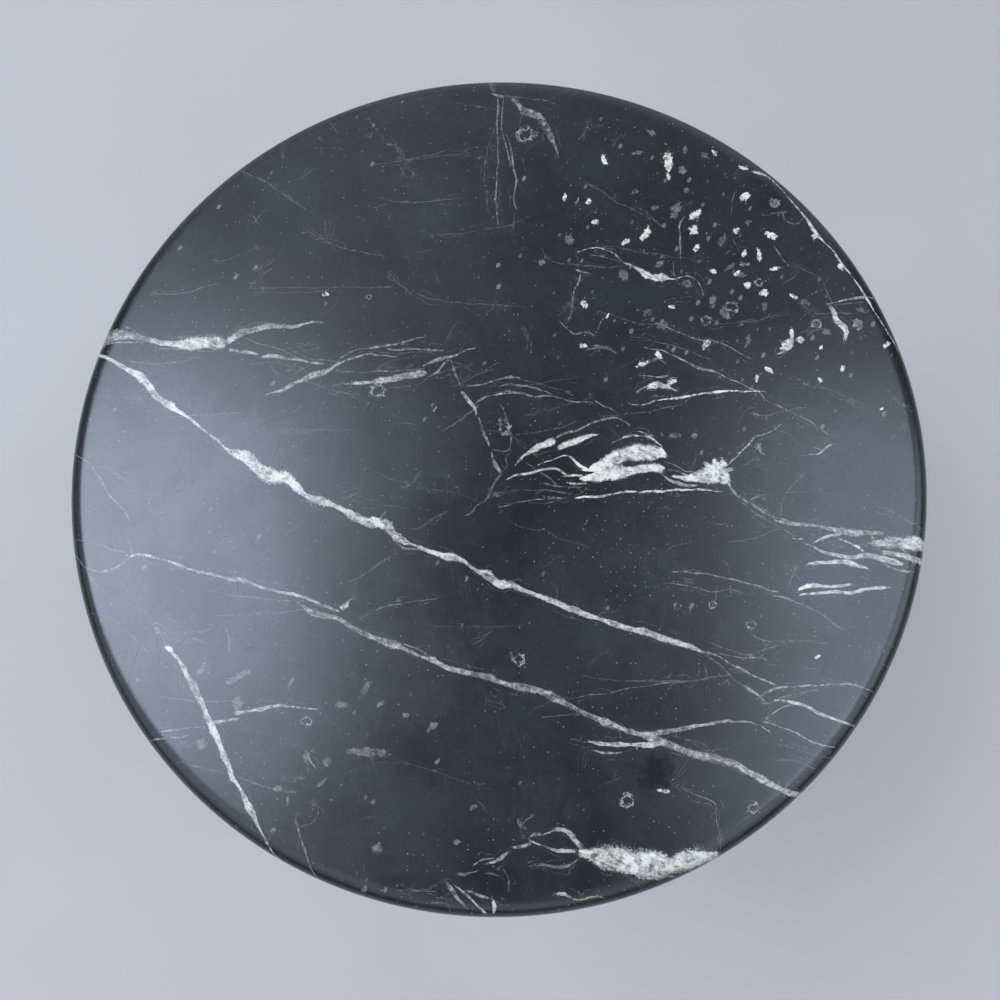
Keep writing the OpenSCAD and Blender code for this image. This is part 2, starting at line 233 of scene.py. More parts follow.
# Each vein is (strength, points), and a point is (x, y, width) in mm
VEINS = [
    # the upper long diagonal, and where it frays out at the right
    (0.81, [(-246, 64, 3), (-238, 61, 2.5), (-229, 56, 3), (-222, 52, 3.5), (-215, 48, 6), (-210, 44, 4),
            (-205, 37, 6), (-200, 33, 6.5), (-194, 29, 5), (-187, 25, 2.4), (-175, 16, 1.8), (-165, 9, 2),
            (-158, 3, 3), (-151, 0, 6), (-144, -4, 8), (-137, -10, 9), (-130, -13, 10), (-123, -14, 10),
            (-118, -17, 7), (-111, -24, 4.5), (-100, -28, 4), (-90, -32, 4.5), (-80, -37, 5.5),
            (-71, -41, 6.5), (-62, -42, 6.5), (-56, -48, 5), (-45, -53, 3.2), (-35, -57, 3),
            (-27, -59, 4.5), (-18, -62, 3), (-9, -68, 2.5), (-3, -70, 5), (4, -75, 5.5), (12, -76, 7),
            (18, -79, 4), (30, -83, 3.5), (45, -89, 3.6), (60, -94, 3.6), (75, -99, 4), (88, -102, 4.2),
            (100, -106, 4.2), (110, -109, 3), (118, -112, 2.2)]),
    (0.73, [(117, -112, 2), (126, -114, 1.3), (135, -119, 1.5), (145, -124, 1.7), (152, -127, 1.3),
            (158, -129, 1.6)]),
    (0.45, [(119, -113, 0.8), (128, -120, 1), (136, -128, 1), (142, -131, 1)]),
    (0.73, [(140, -130, 1.6), (146, -134, 2.2), (152, -139, 1.6)]),
    (0.48, [(121, -112, 0.8), (130, -114, 1), (140, -115, 1.3), (152, -115, 2), (155, -117, 0.8)]),
    (0.4, [(122, -107, 0.7), (135, -112, 0.9), (148, -114, 1)]),
    (0.48, [(-66, -40, 1.5), (-64, -36, 2), (-62, -34, 1)]),
    (0.57, [(-58, -50, 1.2), (-50, -55, 1.6), (-42, -56, 1)]),
    # the lower long diagonal: a fine pair of strands at the left, thick from the middle on
    (0.68, [(-212, -61, 1.4), (-204, -60, 2.2), (-195, -62, 1.8), (-185, -65, 2), (-175, -69, 2.2),
            (-165, -71, 2), (-150, -74, 2.4), (-140, -76, 2.2), (-125, -80, 2), (-112, -83, 2),
            (-100, -87, 2.2), (-92, -90, 2.3), (-87, -92, 1.4)]),
    (0.68, [(-112, -86, 1), (-104, -92, 2.8), (-97, -94, 3.6), (-88, -96, 3.4), (-80, -100, 3),
            (-70, -105, 3.2), (-62, -108, 4.2), (-56, -110, 5.5), (-50, -112, 2.6), (-40, -117, 2),
            (-32, -119, 3.4), (-25, -122, 3.2), (-12, -125, 3), (0, -128, 3.4), (8, -131, 3), (18, -133, 4),
            (28, -135, 4.4), (36, -138, 4.4), (45, -142, 3.8), (55, -148, 3.6), (65, -152, 3.8),
            (75, -155, 4.2), (85, -158, 4.6), (95, -161, 4.8), (105, -165, 4.2), (115, -168, 4.2),
            (125, -170, 4.8), (135, -173, 5), (142, -177, 4.2), (150, -181, 3.6), (158, -185, 3.8),
            (166, -187, 3.2), (176, -191, 2.8)]),
    (0.5, [(-56, -108, 1.2), (-48, -110, 1.4), (-40, -113, 1.4), (-33, -117, 1)]),
    (0.36, [(-252, -57, 1), (-243, -52, 1.1), (-230, -55, 0.9), (-213, -60, 0.9)]),
    (0.47, [(-250, -60, 1), (-243, -62, 1.4), (-237, -67, 1.8), (-230, -70, 2), (-222, -70, 2.6),
            (-216, -67, 2), (-210, -62, 1.6), (-205, -60, 1)]),
    (0.36, [(-236, -69, 1), (-231, -75, 1.1), (-226, -80, 1.2), (-219, -88, 0.8)]),
    (0.36, [(-214, -48, 0.8), (-211, -56, 1.3), (-208, -62, 1)]),
    (0.36, [(-206, -62, 1.5), (-199, -65, 1.3), (-193, -67, 1)]),
    # the slanting vein at the front left, its web and the vein across it
    (0.76, [(-183, -113, 2), (-179, -118, 3), (-174, -124, 3), (-170, -131, 3.8), (-166, -137, 5),
            (-162, -144, 3.8), (-158, -151, 4.4), (-155, -157, 4.4), (-151, -164, 4), (-147, -171, 3.8),
            (-144, -177, 4.2), (-141, -184, 2.8), (-137, -188, 2), (-133, -195, 3.6), (-128, -203, 3.8),
            (-125, -209, 2), (-121, -216, 2), (-117, -223, 2), (-112, -231, 1.5)]),
    (0.42, [(-209, -104, 1), (-202, -110, 1.1), (-195, -116, 1.6), (-190, -113, 1)]),
    (0.5, [(-193, -100, 1), (-188, -107, 1.3), (-183, -114, 1.6)]),
    (0.42, [(-184, -112, 1.2), (-176, -109, 1.3), (-168, -108, 1.1), (-160, -112, 1)]),
    (0.38, [(-176, -106, 1.5), (-166, -104, 1.8), (-158, -101, 1)]),
    (0.5, [(-151, -101, 1.2), (-149, -108, 1.6), (-148, -116, 1)]),
    (0.59, [(-190, -165, 1), (-180, -163, 1.2), (-168, -161, 0.9)]),
    (0.5, [(-183, -160, 1.4), (-170, -158, 1.3), (-158, -157, 1.2)]),
    (0.71, [(-158, -155, 2), (-148, -153.5, 2.2), (-140, -152, 1.6)]),
    (0.76, [(-142, -149, 2.6), (-132, -147, 2.6), (-120, -145, 2), (-108, -145, 1.3), (-95, -146, 0.7)]),
    (0.5, [(-106, -203, 1), (-104, -208, 1.4), (-100, -217, 1.3), (-96, -228, 1.3), (-93, -236, 1.2)]),
    (0.34, [(-103, -209, 0.8), (-96, -207, 1), (-93, -203, 1), (-93, -198, 0.9), (-97, -195, 0.8)]),
    (0.46, [(-97, -168, 0.8), (-100, -171, 1.1), (-98, -175, 1.1), (-95, -178, 0.8)]),
    # the cluster at the left
    (0.76, [(-212, 71, 2.5), (-205, 70, 4), (-196, 69.5, 5), (-186, 69.5, 6.5), (-176, 70, 7.6),
            (-168, 70, 7.6), (-164, 69, 5)]),
    (0.3, [(-203, 73, 1), (-190, 74, 3), (-175, 75, 3), (-165, 74, 2.5)]),
    (0.68, [(-252, 71, 5), (-246, 72, 6), (-238, 74, 8), (-230, 75, 7), (-222, 74, 5), (-214, 72, 4),
            (-207, 70.5, 4)]),
    (0.56, [(-243, 69, 1.2), (-228, 70.5, 1.4), (-214, 70, 1.4)]),
    (0.48, [(-228, 81, 1.5), (-222, 78, 2), (-215, 73, 1.5)]),
    (0.43, [(-208, 63, 1), (-206, 66, 1.2), (-190, 66, 1.3), (-178, 65, 1), (-164, 65.5, 1)]),
    (0.7, [(-164, 70, 4.4), (-158, 75, 5), (-150, 78, 5), (-142, 80.5, 4.2), (-132, 81, 3.2),
            (-122, 81, 2.6), (-114, 83, 1.9), (-106, 83.5, 1.2)]),
    (0.32, [(-160, 78, 1.5), (-150, 82, 1.8), (-140, 83.5, 1.2), (-128, 83, 0.8)]),
    (0.59, [(-163, 66, 2.3), (-156, 65, 2.1), (-148, 64, 3.2), (-143, 62, 2.3)]),
    (0.68, [(-143, 61.5, 1.8), (-136, 62, 2.9), (-128, 60.5, 2.6), (-120, 59.5, 2.3), (-112, 57.5, 2.1),
            (-103, 56.5, 2)]),
    (0.43, [(-152, 73, 0.8), (-142, 69, 0.9), (-130, 66, 1), (-120, 61, 1.1), (-110, 57, 1)]),
    (0.43, [(-121, 64, 0.9), (-112, 59.5, 1.2), (-102, 59, 1.6), (-94, 58, 1)]),
    (0.36, [(-148, 56, 0.8), (-138, 58, 1), (-128, 56, 1), (-119, 55, 1), (-113, 51, 0.8)]),
    (0.3, [(-132, 66, 0.7), (-120, 68, 0.8), (-107, 70, 0.7)]),
    (0.68, [(-138, 37.5, 0.9), (-128, 40.5, 1.9), (-120, 45, 2.9), (-112, 49, 3.6), (-104, 51.5, 3.2),
            (-98, 55, 3.6), (-93, 58, 2.5)]),
    (0.63, [(-94, 57, 1.5), (-85, 61, 1.9), (-76, 63, 1.6), (-68, 62, 1.3), (-58, 62, 0.9)]),
    (0.59, [(-95, 60, 1), (-88, 64.5, 1.9), (-78, 66.5, 1.7), (-68, 68.5, 2), (-60, 69.5, 1.6),
            (-50, 72, 1), (-43, 74, 0.8)]),
    (0.59, [(-66, 66.5, 1), (-60, 66, 1.5), (-50, 66.5, 1.7), (-40, 66, 1.6), (-31, 66, 1)]),
    (0.48, [(-98, 53, 1.2), (-88, 52, 1.6), (-78, 51.5, 1.3), (-66, 52.5, 1.6), (-52, 53, 1.4),
            (-42, 54, 1)]),
    (0.71, [(-90, 44, 1.2), (-84, 44.5, 2.4), (-74, 45.5, 3.6), (-66, 47, 4), (-58, 48.5, 4.5),
            (-50, 50, 5), (-44, 51, 5), (-41, 50.5, 2.5)]),
    (0.4, [(-110, 41, 0.7), (-98, 43, 1), (-86, 44.5, 1)]),
    (0.68, [(-43, 56, 1.5), (-36, 59, 2.1), (-30, 61, 2.5), (-24, 63, 1.8), (-18, 66, 1.1),
            (-12, 67.5, 0.8)]),
    (0.63, [(-40, 49, 1.3), (-35, 52, 1.9), (-32, 56, 1.8), (-28, 60, 1.4)]),
    # the crack at the centre and the veins that leave it to the right
    (0.3, [(-31, 70, 0.8), (-26, 80, 1), (-22, 86, 0.8)]),
    (0.52, [(-27, 61, 1), (-25, 54, 1.9), (-22, 47, 1.3), (-20, 42, 1.3)]),
    (0.67, [(-20, 40, 1.8), (-17, 36, 2.8), (-14, 32, 3.3), (-11, 29, 2), (-10, 25, 1)]),
    (0.55, [(-9, 24, 1.2), (-7, 17, 1.8), (-5, 12, 2), (-3, 6, 1.5)]),
    (0.67, [(-2, 3, 1.5), (-1, -2, 2), (1, -6, 2.8), (4, -9.5, 2.4), (5, -11, 1)]),
    (0.48, [(5, -10, 1.2), (2, -14, 1.7), (0, -18, 2), (-2, -23, 2.2), (-5, -27, 1.3), (-10, -30, 1.3),
            (-12, -34, 2), (-16, -36, 1)]),
    (0.44, [(5, -10, 1), (8, -6, 1), (7, -2, 1), (8, 2, 1)]),
    (0.44, [(-1, 4, 1), (5, 3, 1.3), (9, 3.5, 1.4), (10, 7, 1), (10, 12, 1.4), (7, 18, 1.3), (4, 21, 1)]),
    (0.37, [(4, 15, 1), (5, 19, 1.4), (7, 23, 1.2), (6, 28, 1.4), (3, 32, 1)]),
    (0.59, [(-12, 30, 1), (-9, 34, 2), (-4, 37, 1.9), (3, 38, 1.7), (9, 39.5, 2), (16, 38.5, 1.7),
            (24, 37, 1.5), (35, 37, 1), (46, 34, 1), (60, 33, 0.9)]),
    (0.52, [(3, 43, 1), (10, 44, 1.9), (18, 43, 1.7), (26, 41, 1.5), (34, 38, 1.2)]),
    (0.52, [(-17, 43, 1), (-10, 43.5, 1.7), (-3, 45, 1.5), (4, 48, 1.1), (9, 49, 2), (15, 48.5, 1)]),
    (0.33, [(-26, 43, 0.8), (-16, 47, 1.2), (-8, 51, 1), (0, 54, 0.8)]),
    (0.33, [(12, 49, 0.8), (20, 46, 0.9), (32, 43, 0.9), (46, 40, 0.7)]),
    (0.44, [(-20, 21, 1), (-14, 27, 1.7), (-9, 31, 1.3)]),
    (0.37, [(-31, 15, 0.8), (-24, 19, 1), (-17, 25, 1), (-11, 28, 0.8)]),
    (0.3, [(18, 25, 0.7), (40, 31, 0.8), (60, 37, 0.7)]),
    (0.3, [(12, 13, 0.7), (25, 15, 0.8), (37, 17, 0.8), (50, 22, 0.8)]),
    (0.37, [(-27, -33, 0.8), (-35, -38, 1.1), (-42, -43, 1.3), (-48, -44, 1.2)]),
    # the bright masses right of the centre
    (0.85, [(13, -6, 0.8), (17, -1, 1.9), (22, 3, 3.2), (28, 6, 4.6), (33, 9, 5), (36, 11, 3)]),
    (0.9, [(37, 4, 2.6), (42, 7, 4.4), (48, 9, 4.4), (55, 12, 3), (62, 14, 1.5)]),
    (0.6, [(28, 7, 0.8), (38, 12, 1.3), (48, 16, 1.5), (57, 20, 1.6), (63, 22.5, 1.7), (72, 23.5, 1.6),
            (78, 21, 1.3), (80, 19, 0.8)]),
    (0.9, [(26, -5, 0.8), (34, -2, 1.1), (41, 0.5, 1.3), (46, -1, 1.9), (50, -5, 2.3), (55, -8, 2)]),
    (1, [(57, -8, 3), (63, -5, 6), (70, -2, 9), (77, 1, 11), (84, 2.5, 12.5), (91, 2.5, 11), (97, 2, 7),
            (101, 0, 3)]),
    (0.85, [(70, 8, 1), (78, 12, 1.6), (86, 13, 1.6), (93, 11, 1.6), (99, 6, 1)]),
    (0.8, [(84, 15.5, 1), (88, 14.5, 1.5), (94, 10, 1.3)]),
    (1, [(51, -14, 2.5), (58, -12, 6), (65, -11, 7.4), (73, -10, 7.4), (80, -8.8, 7), (88, -7.2, 6.6),
            (95, -6.6, 6), (100, -8.5, 3)]),
    (0.9, [(52, -8, 1.8), (60, -8, 2.6), (68, -7, 2.4), (76, -5, 1.6)]),
    (0.7, [(98, -9, 1.5), (102, -13, 2), (106, -15, 2), (112, -17, 2.5), (118, -17, 2)]),
    (0.55, [(100, -3, 1), (106, -5, 1.1), (112, -8, 1.1), (118, -8, 1)]),
    (0.6, [(101, -7, 1), (108, -9, 1.3), (115, -12, 1.5)]),
    (0.95, [(104, -12, 2), (110, -13, 4), (116, -12, 6), (122, -11, 9), (128, -11, 11), (133, -12, 10),
            (137, -15, 4)]),
    (0.9, [(123, -3, 2), (127, -6, 4), (131, -8, 4)]),
    (0.75, [(131, -9, 2), (136, -8, 2.5), (141, -7, 1.5)]),
    (0.8, [(7, -14, 0.8), (14, -11.5, 1.7), (22, -10, 1.9), (30, -8, 2), (37, -7.5, 2.2), (41, -10, 1.6),
            (44, -12, 1)]),
    (0.8, [(40, -12, 1), (46, -12, 1.9), (53, -12, 2)]),
    (0.7, [(43, -16, 1.2), (50, -16.5, 1.9), (55, -16, 1)]),
    (0.4, [(18, -4, 0.7), (25, -8, 0.9), (33, -13, 0.9), (39, -19, 0.7)]),
    (0.45, [(28, -16, 0.8), (40, -18, 0.9), (52, -19, 0.8)]),
    (0.55, [(3, -31, 0.7), (14, -28, 0.9), (28, -26, 1), (43, -25, 1)]),
    (0.9, [(47, -25, 1.2), (56, -24.5, 1.7), (66, -23, 1.7), (76, -21.5, 1.6), (86, -21, 1.5),
            (96, -20.5, 1.6), (106, -20, 2), (116, -19.5, 2), (126, -20, 1.5), (133, -20.5, 0.8)]),
    (0.4, [(0, -22, 0.7), (15, -21, 0.8), (30, -21, 0.9), (46, -22, 0.7)]),
    # between those masses and the right rim
    (0.6, [(135, -14, 2.4), (139, -20, 1.8), (145, -25, 2.2), (150, -28, 2), (156, -32, 1.6),
            (163, -35, 1.6), (171, -38, 1.2)]),
    (0.5, [(146, -27, 1), (151, -24, 1.7), (159, -22, 1)]),
    (0.45, [(142, -25, 0.8), (150, -32, 1.1), (158, -37, 1.1), (165, -41, 1.1), (173, -46, 1.2)]),
    (0.68, [(163, -37, 1.7), (172, -38.5, 2.5), (182, -39.5, 2.8), (190, -41, 2.5), (200, -43, 4.3),
            (207, -44, 4.3), (215, -44, 3.5), (223, -44.5, 2.5)]),
    (0.88, [(183, -51, 1.6), (188, -48, 2.5), (194, -46, 2.6), (199, -45, 2.1)]),
    (0.88, [(197, -47, 1.6), (204, -50, 2.2), (209, -53, 2.5), (212, -56, 2.6)]),
    (0.78, [(178, -50, 1.4), (184, -53, 1.7), (192, -56, 2), (200, -58, 2.9), (207, -58, 2.3),
            (212, -57, 2.9), (219, -58, 3.4), (227, -60, 3.4), (233, -62, 2.4)]),
    (0.88, [(179, -62, 1.9), (187, -61, 3), (195, -61, 2.7), (202, -61, 3), (208, -63, 2.4),
            (214, -65, 1.4)]),
    (0.78, [(216, -50, 3.3), (222, -50, 4.8), (228, -49, 5.8), (236, -50, 6.8), (243, -50, 6.8),
            (253, -52, 5.8)]),
    (0.72, [(221, -55, 2.8), (230, -56, 3.8), (238, -58, 3.8), (250, -61, 3.3)]),
    (0.6, [(216, -46, 1.6), (225, -53, 1.8), (232, -52, 1.8), (240, -62, 2.1)]),
    (0.55, [(222, -62, 1.8), (230, -65, 1.9), (240, -66, 1.7)]),
    (0.7, [(172, -48, 2.9), (178, -48, 2.5)]),
    (0.88, [(172, -77, 1.4), (176, -75.5, 2.4), (183, -75, 2.4), (192, -75, 2.1), (200, -74, 2),
            (204, -73, 1.2)]),
    (0.88, [(174, -79.5, 1.6), (182, -79, 2.4), (192, -78, 2.4), (202, -78, 2.4), (210, -76.5, 2.4),
            (217, -75.5, 2.3), (225, -75, 1.4)]),
    (0.4, [(166, -62, 0.8), (172, -68, 0.9), (176, -73, 0.8)]),
    (0.4, [(173, -63, 0.7), (170, -70, 0.8), (168, -76, 0.7)]),
    (0.6, [(102, -67, 1), (112, -67.5, 1.9), (122, -69, 1.3), (134, -71, 1.3), (146, -74, 1.3),
            (156, -77, 1.3), (163, -78.5, 0.9)]),
    (0.45, [(98, -74, 0.8), (110, -75, 1), (118, -77, 1), (124, -79, 0.9), (134, -77, 0.9),
            (143, -79, 0.8)]),
    (0.5, [(158, -80, 1.2), (165, -81, 1.2), (172, -84, 1.2), (182, -88, 1), (190, -94, 1),
            (197, -99, 0.8)]),
    (0.8, [(134, -7, 0.8), (141, 0, 1), (145, 4, 1.3), (150, 8, 1.7), (153, 13, 2), (158, 14, 1.1),
            (165, 17, 1.1), (169, 20, 0.8)]),
    (0.7, [(155, 9, 1), (156, 4, 1.3), (159, 2, 1)]),
    (0.7, [(180, 1, 1.6), (186, 2, 1), (190, 2.5, 1.4), (194, 6, 2), (199, 9, 1.2)]),
    (0.6, [(186, 7, 1), (190, 5.5, 2), (193, 4, 1)]),
    (0.35, [(195, 17, 0.8), (200, 12, 0.9), (206, 20, 0.8)]),
    (0.35, [(165, 18, 0.7), (175, 12, 0.8), (183, 5, 0.7)]),
    (0.45, [(182, -8, 0.8), (175, -15, 0.9), (168, -24, 0.9), (165, -37, 0.8)]),
    (0.35, [(166, -21, 0.7), (185, -20, 0.8), (205, -23, 0.7)]),
    (0.4, [(220, -28, 0.8), (230, -32, 1), (240, -38, 1), (246, -37, 0.8)]),
    # below them, towards the front right
    (0.4, [(145, -101, 0.7), (155, -106, 0.9), (170, -105, 0.9), (188, -107, 0.8)]),
    (0.4, [(141, -114, 0.7), (152, -111, 0.9), (163, -107, 0.9), (180, -105, 0.8)]),
    (0.31, [(152, -118, 0.7), (165, -119, 0.8), (182, -121, 0.7)]),
    (0.66, [(148, -138, 1.5), (152, -135, 1.9), (158, -132, 1.6), (166, -131, 1.8), (176, -130, 1.5),
            (188, -129, 1.6), (198, -129, 1.2), (212, -133, 0.9)]),
    (0.79, [(155, -138, 1.5), (162, -138, 2), (168, -139, 2.6), (174, -141, 2.4), (182, -145, 2),
            (190, -148, 1.6), (202, -152, 1.6)]),
    (0.44, [(149, -140, 1.5), (156, -139, 1.5), (163, -136, 1.2), (172, -134, 1), (184, -131, 0.8)]),
    (0.53, [(151, -149, 1), (156, -145, 1.3), (162, -142, 1.3), (169, -141, 1)]),
    (0.62, [(150, -150, 1), (157, -152, 1.2), (166, -154, 1.2), (174, -158, 1.3), (180, -161, 1.3),
            (190, -163, 1.2)]),
    (0.3, [(155, -170, 1), (165, -170, 1.2), (174, -173, 1.4), (180, -176, 1.4)]),
    (0.4, [(45, -139, 0.9), (55, -137, 0.9), (68, -135, 1), (80, -132, 1), (95, -130, 1.2),
            (108, -129, 1.3), (120, -127, 1.1), (130, -125, 1.1), (140, -123, 1), (147, -125, 0.8)]),
    (0.35, [(28, -149, 0.9), (40, -148, 1), (51, -147, 0.8)]),
    (0.79, [(54, -161.5, 1), (60, -162.5, 2.5), (70, -163, 3), (80, -163, 3.4), (90, -162.5, 3.4),
            (97, -160, 2.5)]),
    (0.57, [(57, -166, 1.5), (64, -167, 1.8), (73, -167, 1.4)]),
    (0.35, [(44, -161, 0.8), (52, -162, 1), (60, -161, 1)]),
    (0.66, [(86, -158, 2.6), (94, -156, 3.4), (102, -154.5, 3), (110, -153, 2.5), (120, -151, 2.1),
            (132, -150, 1.9), (142, -150, 1.7), (149, -152, 1), (154, -155, 0.8)]),
    (0.3, [(100, -158, 2), (110, -160, 2.5), (120, -163, 1.5)]),
    # the front edge
    (0.74, [(30, -210, 0.8), (34, -208.5, 1.4), (39, -207, 2.4), (44, -209, 3.4), (47, -213, 3.4),
            (51, -217, 4)]),
    (0.88, [(48, -219, 3), (54, -220, 7), (62, -221.5, 9.5), (72, -222.5, 11), (82, -224, 12),
            (92, -225.5, 12), (100, -224, 11), (108, -222, 9), (116, -221, 6), (126, -219, 3)]),
    (0.65, [(60, -226, 1), (70, -228, 2.4), (80, -230, 3), (90, -231.5, 3), (100, -231, 2)]),
    (0.79, [(23, -213, 1.8), (30, -216, 2.1), (38, -218, 2.3), (48, -219, 2)]),
    (0.65, [(22, -212, 1), (26, -210, 2.6), (30, -211, 1.5)]),
    (0.51, [(22, -226, 0.8), (28, -225, 1.7), (34, -226, 2.4), (42, -226, 2.4), (49, -223, 1.5)]),
    (0.65, [(23, -215, 2), (17, -217, 2.5), (12, -217, 1.8)]),
    (0.7, [(12, -219, 1.8), (8, -222, 2.6), (4, -225, 2), (-2, -226, 1.2)]),
    (0.51, [(-8, -227, 1.2), (-3, -224, 1.3), (3, -223, 1)]),
    (0.47, [(0, -230, 1.5), (6, -232, 1.2)]),
    (0.42, [(8, -228, 1), (11, -233, 1.3), (12, -240, 1)]),
    (0.42, [(-18, -231, 1.6), (-12, -231, 1.6), (-5, -230, 1)]),
    (0.65, [(-23, -235, 1.2), (-20, -238, 2.4), (-16, -243, 2), (-12, -247, 1.6)]),
    (0.74, [(-19, -236, 1), (-12, -241, 1.9), (-6, -246, 2.1), (0, -252, 1.6)]),
    (0.7, [(-12, -239, 1), (-5, -241, 1.9), (2, -243, 1.3)]),
    (0.74, [(3, -243, 1.5), (4, -247, 3), (3, -252, 2)]),
    (0.47, [(-30, -246, 1.4), (-22, -246, 1)]),
    (0.42, [(-50, -240, 0.8), (-40, -240, 1), (-28, -240, 0.9)]),
    (0.47, [(4, -244, 1), (9, -247, 1.1), (13, -246, 0.8)]),
    (0.79, [(36, -240, 2), (41, -240, 2.3), (45, -242, 1)]),
    (0.6, [(44, -242, 1), (50, -243, 1.3), (56, -241, 1.4), (62, -242, 1)]),
    (0.56, [(24, -201, 0.8), (20, -203, 1), (19, -207, 1), (22, -208, 0.8)]),
    (0.42, [(103, -183, 0.8), (110, -187, 1), (117, -190, 1), (123, -194, 1), (123, -202, 0.9),
            (124, -210, 1), (125, -217, 0.9)]),
    (0.56, [(140, -192, 0.9), (144, -191, 1), (145, -195, 0.9)]),
    # the back edge
    (0.3, [(-5, 254, 3), (-4, 246, 4), (-3, 241, 2)]),
    (0.59, [(-5, 241, 1.4), (-1, 239, 2.4), (4, 238, 2)]),
    (0.52, [(-1, 238, 1.4), (0, 228, 1.5), (-1, 215, 1.6), (0, 200, 1.3), (0, 185, 1.1), (-1, 168, 1.5),
            (0, 158, 1.2), (1, 148, 0.7)]),
    (0.52, [(3, 237, 1.3), (2, 225, 1.4), (2, 214, 1.5), (5, 204, 1.6), (7, 194, 1.5), (8, 188, 1)]),
    (0.52, [(4, 213, 0.9), (7, 205, 1.3), (9, 197, 1.7), (10, 188, 1.9), (12, 178, 1.6), (10, 170, 1.3),
            (11, 162, 1.3), (13, 158, 0.8)]),
    (0.3, [(-3, 216, 0.8), (-6, 203, 1), (-8, 190, 1.1), (-8, 178, 1)]),
    (0.3, [(-7, 172, 1), (-6, 160, 1.1), (-3, 150, 1)]),
    (0.3, [(11, 156, 1.2), (10, 148, 1), (11, 140, 1.2)]),
    (0.52, [(7, 238, 1.5), (11, 235, 3.5), (15, 230, 4.6), (20, 227, 6), (26, 224, 6.4), (29, 218, 4.6),
            (33, 211, 4.4), (36, 203, 2.6), (39, 194, 0.9)]),
    (0.3, [(15, 228, 0.9), (14, 221, 1), (12, 217, 0.8)]),
    (0.48, [(20, 217, 1), (15, 217, 1.2), (13, 213, 1.2), (14, 208, 1.1), (16, 205, 0.8)]),
    (0.3, [(58, 222, 0.9), (56, 215, 1.1), (53, 208, 1.4)]),
    # the fossil field at the back right and the line along its rim
    (0.75, [(50, 130, 0.8), (56, 132, 1), (62, 133, 1.2), (70, 131, 1.4), (75, 127, 1.5), (78, 123, 1.3)]),
    (0.5, [(57, 128, 0.8), (66, 127, 1), (74, 124, 0.9)]),
    (0.8, [(78, 123, 1.4), (86, 119, 2.2), (92, 115, 5.5), (98, 113, 7), (103, 113, 4.5), (108, 112, 1.5),
            (116, 114, 1), (122, 112, 1), (125, 107, 1), (126, 101, 0.8)]),
    (0.55, [(48, 119, 1.6), (52, 117, 1.6), (57, 116, 1.4)]),
    (0.6, [(52, 117, 1), (51, 111, 2), (48, 105, 1), (47, 98, 1.4), (46, 90, 1), (42, 82, 0.9)]),
    (0.55, [(38, 85, 0.8), (43, 80, 1.2), (48, 77, 1.5), (54, 78, 1), (60, 75, 1)]),
    (0.5, [(54, 66, 1), (62, 68, 1.6), (68, 67, 1.2), (73, 64, 1)]),
    (0.5, [(65, 86, 1), (62, 80, 1.2), (60, 77, 0.8)]),
    (0.6, [(60, 34, 1.2), (65, 31, 1), (70, 29, 0.8), (75, 25, 0.7)]),
    (0.7, [(80, 32.5, 1), (88, 32, 1.7), (97, 34.5, 1.4)]),
    (0.95, [(97, 34.5, 1.4), (108, 36, 1.8), (118, 38, 1.7), (128, 39.5, 2.2), (140, 40.5, 1.9),
            (150, 40.5, 1.7), (160, 40, 1)]),
    (0.4, [(62, 24, 0.7), (80, 26, 0.8), (92, 28, 0.9), (110, 32, 0.8), (119, 38, 0.7)]),
    (0.85, [(84, 39, 1.2), (90, 42, 2.6), (97, 45, 3.4), (103, 43, 3), (109, 41, 1.2)]),
    (0.7, [(86, 50, 1.5), (92, 50, 1), (98, 49, 1.6), (105, 50, 1.6)]),
    (0.5, [(86, 57, 1), (92, 59, 2.6), (98, 61, 2.6), (103, 57, 1)]),
    (0.6, [(97, 83, 1.6), (110, 78, 1), (120, 74, 1), (132, 72, 1.1), (142, 67, 1), (154, 60, 0.9)]),
    (0.4, [(82, 75, 0.7), (100, 71, 0.9), (115, 66, 0.9), (130, 60, 0.8)]),
    (0.7, [(90, 68, 0.8), (100, 66, 1.2), (110, 61, 1.3), (120, 56, 1.9), (130, 53, 1.7), (138, 49, 1.3),
            (147, 45, 1), (157, 40, 1)]),
    (0.6, [(157, 40, 1), (163, 34, 1.3), (172, 29, 1.2), (184, 23, 1), (196, 14, 0.9)]),
    (0.5, [(152, 27, 1.2), (160, 25, 1.2), (170, 28, 1), (184, 31, 0.8)]),
    (0.35, [(62, 92, 0.7), (85, 84, 0.8), (108, 82, 0.7)]),
    (0.95, [(158, 184, 1.4), (163, 184, 2.2), (168, 183, 1.8), (172, 179, 1.6), (177, 173, 1.5),
            (182, 166, 1.3), (188, 157, 1.5), (193, 149, 1.9), (197, 143, 2.6), (201, 137, 1.4),
            (206, 131, 1.4), (211, 122, 1.8), (215, 116, 1.3), (221, 106, 1.6), (224, 100, 2.2),
            (228, 92, 1.6), (233, 83, 1.5), (238, 74, 1.4), (242, 66, 1.2)]),
    (0.8, [(200, 96, 1), (208, 98, 1.4), (216, 99.5, 1.7), (224, 101, 2.4), (229, 101, 1.2)]),
    (0.5, [(203, 95.5, 0.8), (212, 96, 0.9), (223, 97, 0.8)]),
    (0.5, [(194, 90, 0.8), (205, 90, 0.9), (215, 90, 0.8)]),
    (0.9, [(202, 96, 2.2), (204, 91, 3.4), (205, 86, 3.8), (209, 82, 4), (211, 77, 4.4), (209, 71, 3)]),
    (0.4, [(184, 97, 1), (188, 92, 1.1), (194, 91, 1)]),
    (0.55, [(116, 154, 1), (113, 148, 1.5), (113, 140, 1.4), (113, 132, 1.5), (113, 126, 0.8)]),
    (0.4, [(109, 125, 0.8), (108, 117, 1), (109, 113, 0.8)]),
    (0.35, [(148, 171, 0.8), (146, 163, 1), (145, 156, 0.8)]),
